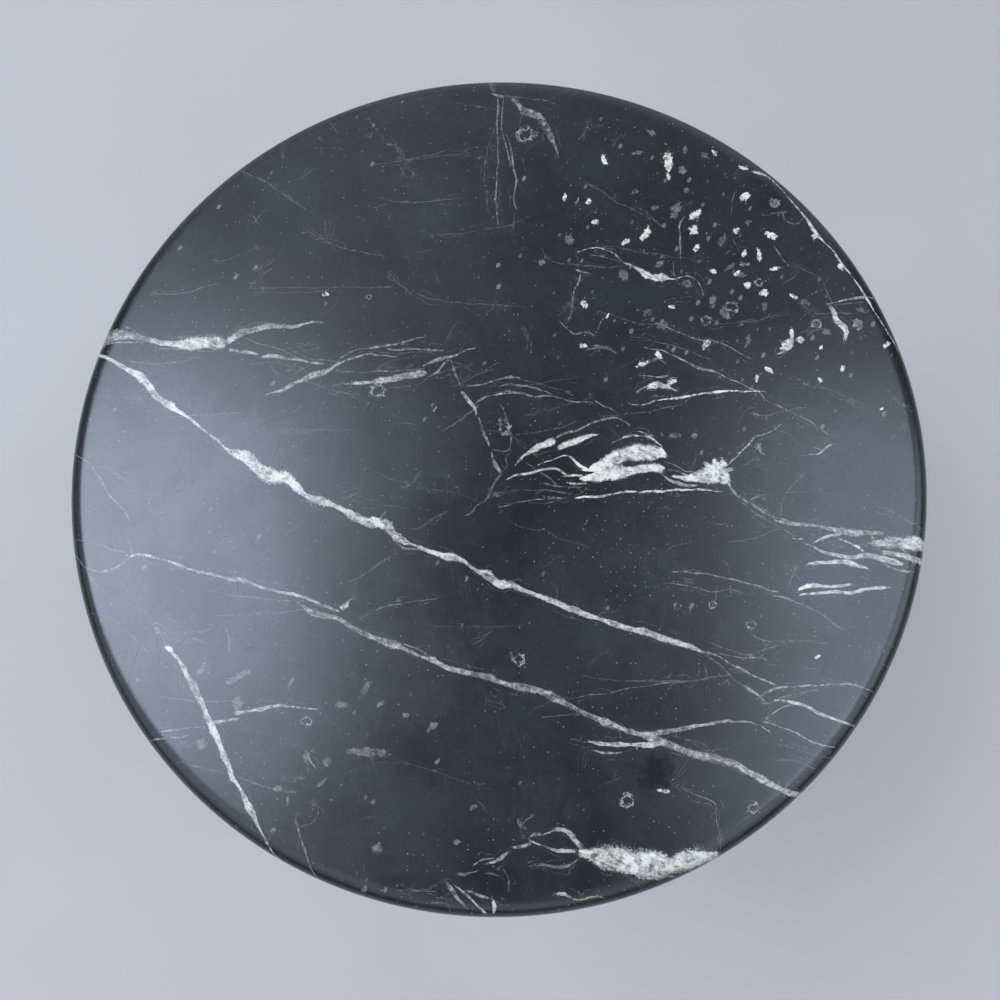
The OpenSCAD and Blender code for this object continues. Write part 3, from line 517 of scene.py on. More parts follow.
    (0.45, [(177, 158, 0.9), (178, 152, 1.1), (182, 149, 1.3), (186, 149, 1.1), (189, 153, 0.8)]),
    (0.65, [(170, 134, 1.3), (173, 130, 1.1), (175, 125, 0.9), (178, 121, 0.8)]),
    (0.8, [(169, 64, 1.4), (173, 66, 2.4), (177, 69, 3.4), (178, 75, 2.8), (178, 81, 2.2)]),
    (0.4, [(182, 78, 0.8), (192, 79, 1), (200, 80, 1)]),
    (0.4, [(235, 37, 0.8), (241, 33, 1), (246, 27, 1)]),
    # single hairlines
    (0.4, [(-158, -95, 0.8), (-140, -94, 0.9), (-118, -92.5, 1), (-98, -91, 1)]),
    (0.35, [(-150, 106, 0.8), (-125, 106.5, 0.9), (-95, 106.5, 0.9), (-62, 107, 0.8)]),
    (0.45, [(-67, 117, 1), (-61, 110, 1.1), (-52, 102, 0.9)]),
    (0.35, [(-154, 109, 0.8), (-147, 111, 0.9), (-144, 116, 1), (-139, 119, 0.8)]),
    (0.45, [(-153, 150, 0.9), (-151, 154, 1.1), (-147, 159, 1)]),
    (0.3, [(-176, 125, 1.2), (-170, 124, 0.9), (-158, 130, 0.8), (-146, 134, 0.7)]),
    (0.3, [(-80, 190, 0.8), (-62, 193, 0.9), (-40, 196, 0.9), (-12, 199, 0.8)]),
    (0.35, [(42, 240, 0.9), (46, 245, 0.9)]),
    (0.55, [(-252, 1, 1), (-242, -5, 0.9), (-237, -10, 1), (-232, -16, 1.3), (-229, -22, 1.3),
            (-223, -28, 1.1), (-218, -33, 1), (-213, -41, 0.8)]),
    (0.3, [(-138, -53, 0.8), (-132, -47, 0.8), (-125, -40, 0.8)]),
    (0.3, [(-162, -59, 0.7), (-148, -51, 0.8), (-137, -44, 0.7)]),
    (0.3, [(-120, -48, 0.7), (-109, -40, 0.8)]),
    (0.45, [(-76, -97, 0.8), (-66, -91, 1), (-52, -87, 0.9), (-30, -84, 0.8)]),
    (0.4, [(-82, -76, 0.9), (-70, -68, 1.1), (-62, -62, 1), (-55, -58, 0.8)]),
    (0.55, [(-87, -91, 1.3), (-83, -88, 2), (-80, -85, 1)]),
    (0.3, [(-245, 37, 0.7), (-225, 35, 0.8), (-205, 35, 0.7)]),
    (0.35, [(-122, 25, 0.9), (-118, 29, 1.3), (-114, 32, 0.9)]),
    (0.35, [(-40, 65, 0.8), (-22, 57, 0.9), (-10, 52, 0.8), (4, 58, 0.7)]),
    (0.35, [(17, 82, 0.8), (20, 74, 1), (19, 64, 0.8)]),
]

# Fossil flecks: (x, y, length, width, direction in degrees), in mm. Ring flecks show only their rim.
BRIGHT_FLECKS = [
    (107, 192, 15, 6, 88), (107, 181, 5, 3, 90), (67, 193, 8, 3.5, 110), (123, 155, 10, 5, 45),
    (122, 145, 8, 6, 60), (92, 142, 12, 4.5, 62), (80, 137, 7, 3, 25), (123, 133, 6, 3.5, 60),
    (154, 167, 8, 5, 50), (154, 187, 7, 3, 160), (61, 150, 5, 4, 0), (57, 164, 5, 3, 70),
    (148, 144, 5, 4, 60), (169, 141, 8, 5, 160), (161, 128, 9, 3.5, 95), (152, 122, 7, 2.5, 10),
    (152, 129, 5, 3, 60), (133, 117, 4, 4, 0), (153, 108, 4.5, 4, 0), (163, 103, 6, 5, 30),
    (170, 119, 7, 2.5, 10), (180, 101, 6, 3, 150), (54, 96, 6, 4, 120), (53, 69, 5, 3.5, 0),
    (98, 63, 6, 4, 120), (127, 70, 9, 4, 60), (174, 70, 10, 4, 45), (178, 77, 6, 3, 90),
    (183, 73, 5, 4, 0), (196, 141, 6, 4, 30), (107, 94, 4, 3, 0), (195, 68, 4, 2.5, 60),
    (234, 70, 6, 3, 40), (163, 54, 6, 3, 150), (156, 49, 6, 2, 80), (95, 44, 10, 4, 20),
    (105, 46, 9, 4, 40), (88, 57, 8, 3, 20), (-105, 102, 5, 3, 0), (42, 167, 7, 2.5, 75),
    (131, -6, 12, 10, 20), (-122, -14, 9, 7, 150), (-67, -40, 6, 9, 60), (-84, -89, 6, 3, 30),
    (129, -9, 6, 14, 10), (136, 198, 5, 2, 120), (147, 116, 6, 2, 40), (210, 120, 5, 4, 120),
    (95, -187, 9, 2.5, 175), (182, -114, 4, 2, 30), (68, 88, 5, 1.5, 60), (-183, -114, 6, 3, 150),
    (207, 55, 5, 2.5, 80), (193, 48, 4, 2, 130), (228, 30, 3, 1.5, 20),
]
DIM_FLECKS = [
    (111, 158, 14, 6, 65), (139, 138, 9, 4, 60), (118, 200, 7, 3, 80), (97, 212, 7, 4, 150),
    (88, 198, 8, 3, 15), (98, 160, 6, 3, 20), (45, 138, 7, 6, 100), (28, 123, 5, 4, 0),
    (78, 115, 6, 9, 10), (101, 82, 7, 5, 20), (92, 90, 6, 5, 40), (65, 68, 10, 2.5, 170), (116, 109, 7, 6, 0),
    (143, 120, 8, 3, 40), (132, 99, 8, 4, 70), (152, 73, 7, 3, 80), (149, 115, 6, 4, 0),
    (163, 94, 7, 3, 80), (187, 97, 6, 4, 150), (193, 83, 5, 5, 0), (199, 78, 5, 4, 0), (218, 83, 5, 5, 0),
    (220, 92, 6, 3, 150), (100, 122, 6, 4, 30), (139, 90, 10, 5, 110), (155, 150, 4, 3, 40),
    (118, 172, 4, 4, 0), (86, 171, 5, 3, 20), (116, 186, 6, 6, 0), (130, 196, 4, 4, 0), (172, 163, 5, 5, 0),
    (-142, -129, 18, 4, 28), (-163, -125, 8, 4, 60), (-141, -144, 8, 8, 0), (-160, -166, 7, 6, 0),
    (-116, -189, 5, 5, 0), (-89, -174, 6, 5, 60), (-101, -172, 4, 6, 0), (-70, -135, 13, 4, 62),
    (-83, -144, 8, 4, 0), (-61, -143, 5, 3, 30), (-67, -169, 26, 5, 178), (-60, -219, 6, 5, 60),
    (-117, -211, 4, 3, 60), (-110, -195, 6, 1.5, 90), (-112, -132, 7, 3, 60), (-31, -154, 5, 4, 0),
    (-47, -149, 4, 3, 0), (-66, -240, 5, 3, 60), (17, -205, 5, 3, 100), (-8, -197, 5, 2.5, 30),
    (-17, -215, 4, 3, 0), (107, 13, 8, 4, 0), (92, 12, 5, 3, 30), (155, 6, 6, 3, 130), (-92, -186, 8, 2, 40),
    (118, 13, 4, 4, 0), (-190, -104, 6, 3, 150), (-200, -133, 5, 3, 40), (12, -116, 6, 2, 110),
]
RING_FLECKS = [
    (-70, 40, 9, 8, 0), (75, -192, 8, 7, 40), (127, 85, 6, 6, 0), (17, 211, 9, 13, 110),
    (-102, -153, 6, 5, 0), (146, -97, 6, 5, 0), (125, -86, 5, 5, 0), (-78, 100, 3, 3, 0),
    (143, -195, 7, 5, 30), (16, -118, 7, 6, 0), (105, -87, 4, 4, 0), (143, 94, 8, 7, 0), (6, 18, 7, 10, 20),
    (172, 163, 6, 6, 0), (193, 83, 6, 6, 0), (218, 83, 6, 6, 0), (-36, 30, 3, 5, 0), (160, 110, 5, 5, 0),
]

# How white a fleck is; a ring fleck's value is negative
BRIGHT, DIM, RING = 1.0, 0.42, -0.55
FLECKS = [
    (*fleck, strength)
    for strength, flecks in ((BRIGHT, BRIGHT_FLECKS), (DIM, DIM_FLECKS), (RING, RING_FLECKS))
    for fleck in flecks
]

STEP_MM = 1.6      # spacing of the points along a traced vein
WANDER_MM = 0.6    # how far a vein strays from its drawn line
SWELL = 0.4        # how much its width varies
SLIM_MM = 0.5      # taken off a vein's width, which the shader's ragged edge adds again
SLIM_PART = 0.6    # every vein keeps at least this part of its width
FAR_MM = 9.0       # beyond this distance a vein's layer holds nothing
ROOM_MM = 4.2      # room kept around each vein and fleck, more than the top mesh's longest edge
BATCH = 4000       # points measured at a time
random = np.random.RandomState(7)


def smooth_noise(count, window):
    """Seeded noise around 0 for count places in a row, averaged over window places."""
    return np.convolve(random.normal(0, 1, count + 8), np.ones(window) / window, "valid")[:count]


def trace(points):
    """The vein's points joined by a smooth curve (Catmull-Rom), as x, y and width columns."""
    p = np.array(points, float)
    p = np.vstack([2 * p[0] - p[1], p, 2 * p[-1] - p[-2]])
    pieces = []
    for a, b, c, d in zip(p[:-3], p[1:-2], p[2:-1], p[3:]):
        count = max(2, int(np.hypot(*(c - b)[:2]) / STEP_MM))
        t = np.linspace(0, 1, count, endpoint=False)[:, None]
        pieces.append(0.5 * (2 * b + (c - a) * t + (2 * a - 5 * b + 4 * c - d) * t**2
                             + (3 * b - a - 3 * c + d) * t**3))
    line = np.vstack(pieces + [p[-2][None]])
    count = len(line)
    wander = smooth_noise(count, 5)
    lumps = smooth_noise(count, 4)
    along = np.gradient(line[:, :2], axis=0)
    normal = np.stack([-along[:, 1], along[:, 0]], 1)
    normal /= np.maximum(np.linalg.norm(normal, axis=1), 1e-6)[:, None]
    line[:, :2] += normal * wander[:, None] * WANDER_MM
    line[:, 2] = np.maximum(line[:, 2] - SLIM_MM, line[:, 2] * SLIM_PART) * (1 + SWELL * lumps)
    return line


def lines_apart(line, other):
    """Whether two traced veins stay clear of each other's room."""
    room = 2 * ROOM_MM + line[:, 2].max() / 2 + other[:, 2].max() / 2
    low, high = other[:, :2].min(0) - room, other[:, :2].max(0) + room
    near = line[((line[:, :2] > low) & (line[:, :2] < high)).all(1)]
    if not len(near):
        return True
    gap = np.linalg.norm(near[:, None, :2] - other[None, :, :2], axis=2)
    return bool((gap - near[:, None, 2] / 2 - other[None, :, 2] / 2).min() > 2 * ROOM_MM)


def flecks_apart(fleck, other):
    """Whether two flecks stay clear of each other's room."""
    gap = math.hypot(fleck[0] - other[0], fleck[1] - other[1])
    return gap > max(fleck[2:4]) / 2 + ROOM_MM + max(other[2:4]) / 2 + ROOM_MM


def share_out(items, clear):
    """The items dealt to layers, each to the first layer in which it is clear of all others.

    A layer holds only the nearest item at each place, so no two in it may come near each other.
    """
    layers = []
    for item in items:
        for layer in layers:
            if all(clear(item, other) for other in layer):
                layer.append(item)
                break
        else:
            layers.append([item])
    return layers


def scattered_lines(count, length, direction, spread, bend, width, strength):
    """A layer of fine lines at random places, all roughly one way.

    length, width and strength are ranges. A line that comes too near another is dropped.
    """
    layer = []
    steps = 4
    for _ in range(count * 6):
        reach = TOP_R / MM * math.sqrt(random.uniform())
        bearing = random.uniform(0, FULL_TURN)
        x, y = reach * math.cos(bearing), reach * math.sin(bearing)
        heading = math.radians(random.normal(direction, spread))
        turn = random.normal(0, bend)
        size = random.uniform(*width)
        points = [(x, y, size * 0.5)]
        for step in range(steps):
            heading += turn / steps + random.normal(0, bend / 8)
            x += random.uniform(*length) / steps * math.cos(heading)
            y += random.uniform(*length) / steps * math.sin(heading)
            points.append((x, y, size * (0.5 if step == steps - 1 else 1.0)))
        line = trace(points)
        if all(lines_apart(line, other) for _, other in layer):
            layer.append((random.uniform(*strength), line))
        if len(layer) == count:
            break
    return layer


def vein_field(xy, veins):
    """For each point, the signed distance from the middle of the nearest vein, and that vein's
    half width and strength."""
    field = np.zeros((len(xy), 3))
    field[:, 0] = FAR_MM
    nearest = np.full(len(xy), FAR_MM)
    for strength, line in veins:
        reach = FAR_MM + line[:, 2].max()
        low, high = line[:, :2].min(0) - reach, line[:, :2].max(0) + reach
        here = np.where(((xy > low) & (xy < high)).all(1))[0]
        for start in range(0, len(here), BATCH):
            ids = here[start:start + BATCH]
            a, b = line[:-1], line[1:]
            ab = (b - a)[:, :2]
            ap = xy[ids, None] - a[None, :, :2]
            t = np.clip((ap * ab).sum(2) / (ab**2).sum(1), 0, 1)
            gap = np.linalg.norm(ap - t[:, :, None] * ab, axis=2)
            k = gap.argmin(1)
            rows = np.arange(len(ids))
            gap, t = gap[rows, k], t[rows, k]
            side = np.sign(ab[k, 0] * ap[rows, k, 1] - ab[k, 1] * ap[rows, k, 0])
            half = (a[k, 2] + (b[k, 2] - a[k, 2]) * t) / 2
            outside = gap - half
            past_end = ((k == 0) & (t == 0)) | ((k == len(a) - 1) & (t == 1))
            better = outside < nearest[ids]
            chosen = ids[better]
            nearest[chosen] = outside[better]
            field[chosen, 0] = (gap * np.where(side == 0, 1, side))[better]
            field[chosen, 1] = half[better]
            field[chosen, 2] = np.where(past_end | (outside > ROOM_MM), 0, strength)[better]
    return field


def fleck_field(xy, flecks):
    """For each point, its place in the nearest fleck's own frame, in half sizes, and the fleck's
    strength."""
    field = np.zeros((len(xy), 3))
    nearest = np.full(len(xy), 1e9)
    for x, y, length, width, direction, strength in flecks:
        away = xy - (x, y)
        gap = np.hypot(away[:, 0], away[:, 1]) - max(length, width) / 2
        here = gap < nearest
        nearest[here] = gap[here]
        c, s = math.cos(math.radians(direction)), math.sin(math.radians(direction))
        field[here, 0] = (away[here, 0] * c + away[here, 1] * s) / (length / 2)
        field[here, 1] = (away[here, 1] * c - away[here, 0] * s) / (width / 2)
        field[here, 2] = np.where(gap[here] < ROOM_MM, strength, 0)
    return field


drawn_veins = [(strength, trace(points)) for strength, points in VEINS]
vein_groups = share_out(drawn_veins, lambda vein, other: lines_apart(vein[1], other[1]))
# Long hairlines along the main veins, short ones across them, and small curls
vein_groups += [
    scattered_lines(46, length=(25, 90), direction=-12, spread=12, bend=0.35, width=(0.8, 1.4),
                    strength=(0.16, 0.42)),
    scattered_lines(60, length=(6, 26), direction=32, spread=16, bend=0.25, width=(0.8, 1.3),
                    strength=(0.14, 0.36)),
    scattered_lines(60, length=(5, 22), direction=-60, spread=35, bend=1.6, width=(0.9, 1.5),
                    strength=(0.12, 0.34)),
]
fleck_groups = share_out(FLECKS, flecks_apart)

# ---------------------------------------------------------------- the stone's mesh

EDGE_R = 12 * MM          # rounded upper edge
UNDER_R = 4 * MM          # lower edge, under the widest line
BEVEL = math.radians(22)  # slope of the bevel below it
EASE = 0.6 * MM           # easing of the arris between bevel and underside
SEGMENTS = 480            # sides of every ring
EDGE_STEPS = 20           # rings on the rounded upper edge
UNDER_STEPS = 8           # and on the lower one
BEVEL_STEPS = 3
RING_STEP = 2.3 * MM      # spacing of the rings on the top face
UNDER_STEP = 4 * MM       # and of those on the underside
HIDDEN_R = 155 * MM       # the backing board covers what is inside this
ANCHOR_R = 5.05 * MM      # blind holes in the underside
ANCHOR_DEPTH = 12.5 * MM
ANCHOR_CIRCLE_R = 140 * MM
ANCHORS = 6
ANCHOR_SIDES = 32


def around(count, radius, start=0.0):
    """Places on a circle about the table's axis, the first one at start degrees."""
    turns = [math.radians(start + 360 * k / count) for k in range(count)]
    return [(radius * math.cos(a), radius * math.sin(a)) for a in turns]


def stone_profile():
    """(radius, height) from the top face's first ring, over the edge, to where the board covers it."""
    flat_r = TOP_R - EDGE_R
    rings = round(flat_r / RING_STEP)
    profile = [(flat_r * k / rings, TOP_Z) for k in range(1, rings)]
    for k in range(EDGE_STEPS + 1):
        a = math.radians(90 - 90 * k / EDGE_STEPS)
        profile.append((flat_r + EDGE_R * math.cos(a), TOP_Z - EDGE_R + EDGE_R * math.sin(a)))
    turn = math.pi / 2 - BEVEL
    centre = (TOP_R - UNDER_R, TOP_Z - EDGE_R)
    for k in range(1, UNDER_STEPS + 1):
        a = -turn * k / UNDER_STEPS
        profile.append((centre[0] + UNDER_R * math.cos(a), centre[1] + UNDER_R * math.sin(a)))
    r, z = profile[-1]
    end = r - (z - stone_low.z) / math.tan(BEVEL)
    eased_r, eased_z = end + EASE, stone_low.z + EASE * math.tan(BEVEL)
    for k in range(1, BEVEL_STEPS + 1):
        profile.append((r + (eased_r - r) * k / BEVEL_STEPS, z + (eased_z - z) * k / BEVEL_STEPS))
    profile.append((end - EASE * 0.4, stone_low.z))
    start = end - EASE * 2
    rings = round((start - HIDDEN_R) / UNDER_STEP)
    profile += [(start + (HIDDEN_R - start) * k / rings, stone_low.z) for k in range(rings + 1)]
    return profile


def stone_mesh():
    """The stone as one closed skin, from the middle of its top face to the holes under it."""
    profile = np.array(stone_profile())
    angles = np.linspace(0, FULL_TURN, SEGMENTS, endpoint=False)
    x = profile[:, :1] * np.cos(angles)
    y = profile[:, :1] * np.sin(angles)
    z = np.repeat(profile[:, 1:], SEGMENTS, 1)
    points = [tuple(p) for p in np.stack([x, y, z], 2).reshape(-1, 3)]
    faces = []
    for ring in range(len(profile) - 1):
        for k in range(SEGMENTS):
            a, b = ring * SEGMENTS + k, ring * SEGMENTS + (k + 1) % SEGMENTS
            faces.append((a, a + SEGMENTS, b + SEGMENTS, b))
    points.append((0, 0, TOP_Z))
    faces += [(len(points) - 1, k, (k + 1) % SEGMENTS) for k in range(SEGMENTS)]
    add_underside(points, faces, (len(profile) - 1) * SEGMENTS)
    mesh = bpy.data.meshes.new("stone")
    mesh.from_pydata(points, [], faces)
    mesh.validate()
    return mesh


def add_hole(points, faces, centre):
    """Adds a blind hole from the underside up; returns the number of its mouth's first point."""
    mouth = len(points)
    circle = [(centre[0] + x, centre[1] + y) for x, y in around(ANCHOR_SIDES, ANCHOR_R)]
    points += [(x, y, stone_low.z) for x, y in circle]
    points += [(x, y, stone_low.z + ANCHOR_DEPTH) for x, y in circle]
    floor = mouth + ANCHOR_SIDES
    for k in range(ANCHOR_SIDES):
        b = (k + 1) % ANCHOR_SIDES
        faces.append((mouth + k, mouth + b, floor + b, floor + k))
    faces.append(tuple(floor + k for k in reversed(range(ANCHOR_SIDES))))
    return mouth


def add_underside(points, faces, rim):
    """Closes the mesh below: a flat face inside the ring of points from rim on, with blind holes."""
    owners = [rim + k for k in range(SEGMENTS)]
    loops = [list(range(SEGMENTS))]
    centres = around(ANCHORS, ANCHOR_CIRCLE_R)
    for centre in centres:
        mouth = add_hole(points, faces, centre)
        loops.append([len(owners) + k for k in reversed(range(ANCHOR_SIDES))])
        owners += [mouth + k for k in range(ANCHOR_SIDES)]
    flat = [Vector(points[owner][:2]) for owner in owners]
    places, _, triangles, sources, _, _ = delaunay_2d_cdt(flat, [], loops, 1, 1e-7)
    for triangle in triangles:
        middle = sum((places[k] for k in triangle), Vector((0, 0))) / len(triangle)
        if all((middle - Vector(centre)).length > ANCHOR_R * 0.9 for centre in centres):
            faces.append(tuple(owners[sources[k][0]] for k in reversed(triangle)))


def add_pattern(mesh):
    """Stores what the stone's material needs of the veins and flecks on the mesh's points."""
    count = len(mesh.vertices)
    co = np.empty(count * 3)
    mesh.vertices.foreach_get("co", co)
    xy = co.reshape(-1, 3)[:, :2] / MM
    fields = {f"veins_{k}": vein_field(xy, veins) for k, veins in enumerate(vein_groups)}
    fields.update({f"flecks_{k}": fleck_field(xy, flecks) for k, flecks in enumerate(fleck_groups)})
    for name, field in fields.items():
        layer = mesh.attributes.new(name, "FLOAT_VECTOR", "POINT")
        layer.data.foreach_set("vector", field.ravel())


# ---------------------------------------------------------------- the stone's material

STONE_DARK = rgb(0.0045, 0.0060, 0.0070)
STONE_LIGHT = rgb(0.012, 0.0145, 0.0165)
VEIN_GREY = rgb(0.105, 0.100, 0.092)
VEIN_WHITE = rgb(0.57, 0.523, 0.453)
VEIN_HEADING = -20             # degrees: the way most veins run
FOSSIL_FIELD = (135, 125, 0)   # mm: the middle of the field of small flecks, at the back right
DOT_FIELD = (78, -44, 0)       # where the fine dots are thickest
SMUDGE = (91, -178, 0)         # a dull smudge near the front right


def stone_body(g, p):
    """The stone between the veins: slow clouds and a finer mottling."""
    clouds = g.noise(p, 70, 4, 0.6)
    mottle = g.noise(p, 6, 5, 0.65)
    tone = g.add(g.mul(clouds, 0.7), g.mul(mottle, 0.3))
    return g.blend(g.smooth(tone, 0.38, 0.66), STONE_DARK, STONE_LIGHT)


def stone_noises(g, p):
    """What roughens every edge of the pattern and breaks up what is inside it."""
    return SimpleNamespace(
        wobble=g.math("SUBTRACT", g.noise(p, 7, 4, 0.6), 0.5),
        crumble=g.math("SUBTRACT", g.noise(p, 1.4, 4, 0.7), 0.5),
        crumbs=g.smooth(g.noise(p, 2.4, 3, 0.6), 0.40, 0.54, 0.40, 1.0),
        patches=g.noise(p, 5, 5, 0.65),
        cracks=g.noise(g.place(p, VEIN_HEADING, (3.0, 1, 1)), 1.5, 4, 0.7),
    )


def stone_veins(g, rough):
    """The veins, crumbling where they are thin or faint, and the distance from the nearest one's edge."""
    veins = 0.0
    outside = FAR_MM
    for number in range(len(vein_groups)):
        distance, half, strength = g.split(g.attribute(f"veins_{number}"))
        moved = g.math("ABSOLUTE", g.math("MULTIPLY_ADD", rough.wobble, 1.5, distance))
        ratio = g.math("DIVIDE", moved, g.math("MAXIMUM", half, 0.12))
        ratio = g.math("MULTIPLY_ADD", rough.crumble, 1.5, ratio)
        solid = g.mul(g.smooth(half, 0.3, 1.0), g.smooth(strength, 0.45, 0.80))
        whole = g.math("MAXIMUM", rough.crumbs, solid)
        vein = g.mul(g.mul(g.smooth(ratio, 1.2, 0.7), strength), whole)
        veins = g.math("MAXIMUM", veins, vein)
        clear = g.add(g.math("SUBTRACT", moved, half), g.smooth(strength, 0.25, 0.05, 0.0, FAR_MM))
        outside = g.math("MINIMUM", outside, clear)
    return veins, outside


def chalk(g, p, rough, veins, outside):
    """The veins with grey patches, streaks along them, fine grains and a few nearly white parts."""
    streaks = g.smooth(rough.cracks, 0.36, 0.50, -0.26, 0.06)
    inner = g.add(g.smooth(rough.patches, 0.40, 0.60, -0.24, 0.06), streaks)
    inner = g.math("MULTIPLY_ADD", rough.crumble, 0.9, inner)
    inner = g.mul(inner, g.smooth(outside, -0.1, -0.9, 0.35, 1.0))
    inner = g.add(inner, g.smooth(g.noise(p, 24, 3, 0.6), 0.50, 0.64, 0.80, 1.0))
    return g.math("MULTIPLY", veins, inner, clamp=True)


def stone_threads(g, p, rough, outside):
    """Threads that run beside the veins, leave them and come back."""
    drift = g.noise(g.place(p, VEIN_HEADING - 2, (2.2, 1, 1)), 7, 2)
    drift = g.smooth(drift, 0.35, 0.68, 0.1, 3.4)
    thread = g.smooth(g.math("ABSOLUTE", g.math("SUBTRACT", outside, drift)), 0.24, 0.08)
    shown = g.smooth(g.noise(p, 17, 2), 0.47, 0.56, 0.0, 0.32)
    return g.mul(g.mul(thread, rough.crumbs), shown)


def stone_flecks(g, rough, ragged, pattern):
    """The pattern with the drawn fossil flecks on it, whole ones and rings."""
    streaks = g.smooth(rough.cracks, 0.40, 0.60, -0.1, 0.2)
    patchy = g.add(g.smooth(rough.patches, 0.36, 0.55, 0.35, 0.8), streaks)
    patchy = g.math("MULTIPLY_ADD", rough.crumble, 1.1, patchy)
    frayed = g.vector("MULTIPLY", ragged, (1.4, 1.4, 0.0))
    for number in range(len(fleck_groups)):
        u, v, strength = g.split(g.vector("ADD", g.attribute(f"flecks_{number}"), frayed))
        ratio = g.math("SQRT", g.add(g.mul(u, u), g.mul(v, v)))
        filled = g.math("MULTIPLY", g.smooth(ratio, 1.05, 0.75), g.mul(strength, patchy), clamp=True)
        rim = g.smooth(g.math("ABSOLUTE", g.math("SUBTRACT", ratio, 0.85)), 0.24, 0.08)
        ring = g.math("MULTIPLY", g.mul(rim, rough.crumbs), g.mul(strength, -1.0), clamp=True)
        pattern = g.math("MAXIMUM", pattern, g.math("MAXIMUM", filled, ring))
    return pattern


def small_flecks(g, flat, ragged):
    """Scattered small flecks, thickest in the fossil field."""
    crowd = g.smooth(g.vector("DISTANCE", flat, FOSSIL_FIELD), 130, 50, 0.05, 0.5)
    warped = g.vector("ADD", flat, ragged)
    distance, cell = g.voronoi(g.place(warped, 62, (1.7, 1, 1)), 7.0)
    chance, size, _ = g.split(cell)
    shown = g.math("LESS_THAN", chance, crowd)
    radius = g.math("MULTIPLY_ADD", size, 0.13, 0.05)
    fleck = g.smooth(g.math("DIVIDE", distance, radius), 1.2, 0.7)
    return g.mul(g.mul(fleck, shown), g.math("MULTIPLY_ADD", size, 0.3, 0.10))


def fine_dots(g, flat):
    """Fine dots everywhere."""
    distance, cell = g.voronoi(flat, 2.7)
    chance, size, _ = g.split(cell)
    radius = g.math("MULTIPLY_ADD", size, 0.10, 0.04)
    dot = g.smooth(g.math("DIVIDE", distance, radius), 1.2, 0.6)
    crowd = g.smooth(g.vector("DISTANCE", flat, DOT_FIELD), 55, 30, 0.15, 0.5)
    return g.mul(g.mul(dot, g.math("LESS_THAN", chance, crowd)), g.mul(size, 0.55))


def stone_pattern(g, p, flat, rough):
    """All that is lighter than the stone's body: 0 for none, 1 for white."""
    veins, outside = stone_veins(g, rough)
    veins = chalk(g, p, rough, veins, outside)
    pattern = g.math("MAXIMUM", veins, stone_threads(g, p, rough, outside))
    ragged = g.noise(p, 2.2, 3, 0.65, output="Color")
    ragged = g.vector("SCALE", g.vector("SUBTRACT", ragged, (0.5, 0.5, 0.5)), scale=1.6)
    pattern = stone_flecks(g, rough, ragged, pattern)
    specks = g.math("MAXIMUM", small_flecks(g, flat, ragged), fine_dots(g, flat))
    return g.math("MAXIMUM", pattern, specks)


def stone_scratches(g, p):
    """Fine scratches that cross each other, in patches."""
    streaks = []
    for angle, size in ((18, 0.35), (-33, 0.30), (74, 0.4), (-78, 0.3)):
        streak = g.noise(g.place(p, angle, (90, 1, 1)), size, 2, 0.6)
        streaks.append(g.smooth(streak, 0.66, 0.74))
    return g.mul(g.largest(streaks), g.smooth(g.noise(p, 35, 3), 0.42, 0.62))


def stone_material():
    """Honed black marble."""
    g = Graph("black_marble")
    p = g.coords_mm()
    x, y, _ = g.split(p)
    flat = g.join(x, y, 0.0)
    body = stone_body(g, p)
    rough = stone_noises(g, p)
    pattern = stone_pattern(g, p, flat, rough)
    colour = g.blend(g.smooth(pattern, 0.0, 0.5), body, VEIN_GREY)
    colour = g.blend(g.smooth(pattern, 0.3, 1.0), colour, VEIN_WHITE)

    # the honed finish: fine scratches and slightly uneven gloss
    scratch = stone_scratches(g, p)
    gloss = g.noise(p, 45, 3, 0.55)
    roughness = g.add(g.smooth(gloss, 0.3, 0.7, 0.25, 0.30), g.mul(pattern, 0.10))
    roughness = g.add(roughness, g.mul(scratch, 0.06))
    height = g.add(g.mul(g.noise(p, 0.5, 3, 0.6), 0.5), g.mul(scratch, -0.25))
    from_smudge = g.math("MULTIPLY_ADD", rough.wobble, 26, g.vector("DISTANCE", flat, SMUDGE))
    shine = g.smooth(from_smudge, 4, 14, 0.2, 0.5)
    g.set(Base_Color=colour, Roughness=roughness, Specular_IOR_Level=shine, IOR=1.52,
          Normal=g.bump(height, 0.03 * MM))
    return g.material


# ---------------------------------------------------------------- other materials


def powder_coat():
    """Satin black powder coat: fine leathery texture, faint dust and rubbed high spots."""
    g = Graph("black_powder_coat")
    p = g.coords_mm()
    texture = g.add(g.mul(g.noise(p, 1.1, 3, 0.6), 0.7), g.mul(g.noise(p, 3.2, 2, 0.5), 0.3))
    cloud = g.noise(p, 60, 4, 0.6)
    dust = g.mul(g.smooth(g.noise(p, 14, 6, 0.7), 0.52, 0.75), 0.5)
    colour = g.blend(g.smooth(cloud, 0.35, 0.7), rgb(0.012, 0.012, 0.013), rgb(0.020, 0.020, 0.022))
    colour = g.blend(g.mul(dust, 0.5), colour, rgb(0.045, 0.044, 0.043))
    roughness = g.add(g.smooth(cloud, 0.3, 0.7, 0.36, 0.46), g.mul(dust, 0.25))
    g.set(Base_Color=colour, Roughness=roughness, IOR=1.5, Normal=g.bump(texture, 0.12 * MM, 0.6))
    return g.material


PLY_MM = 3.0


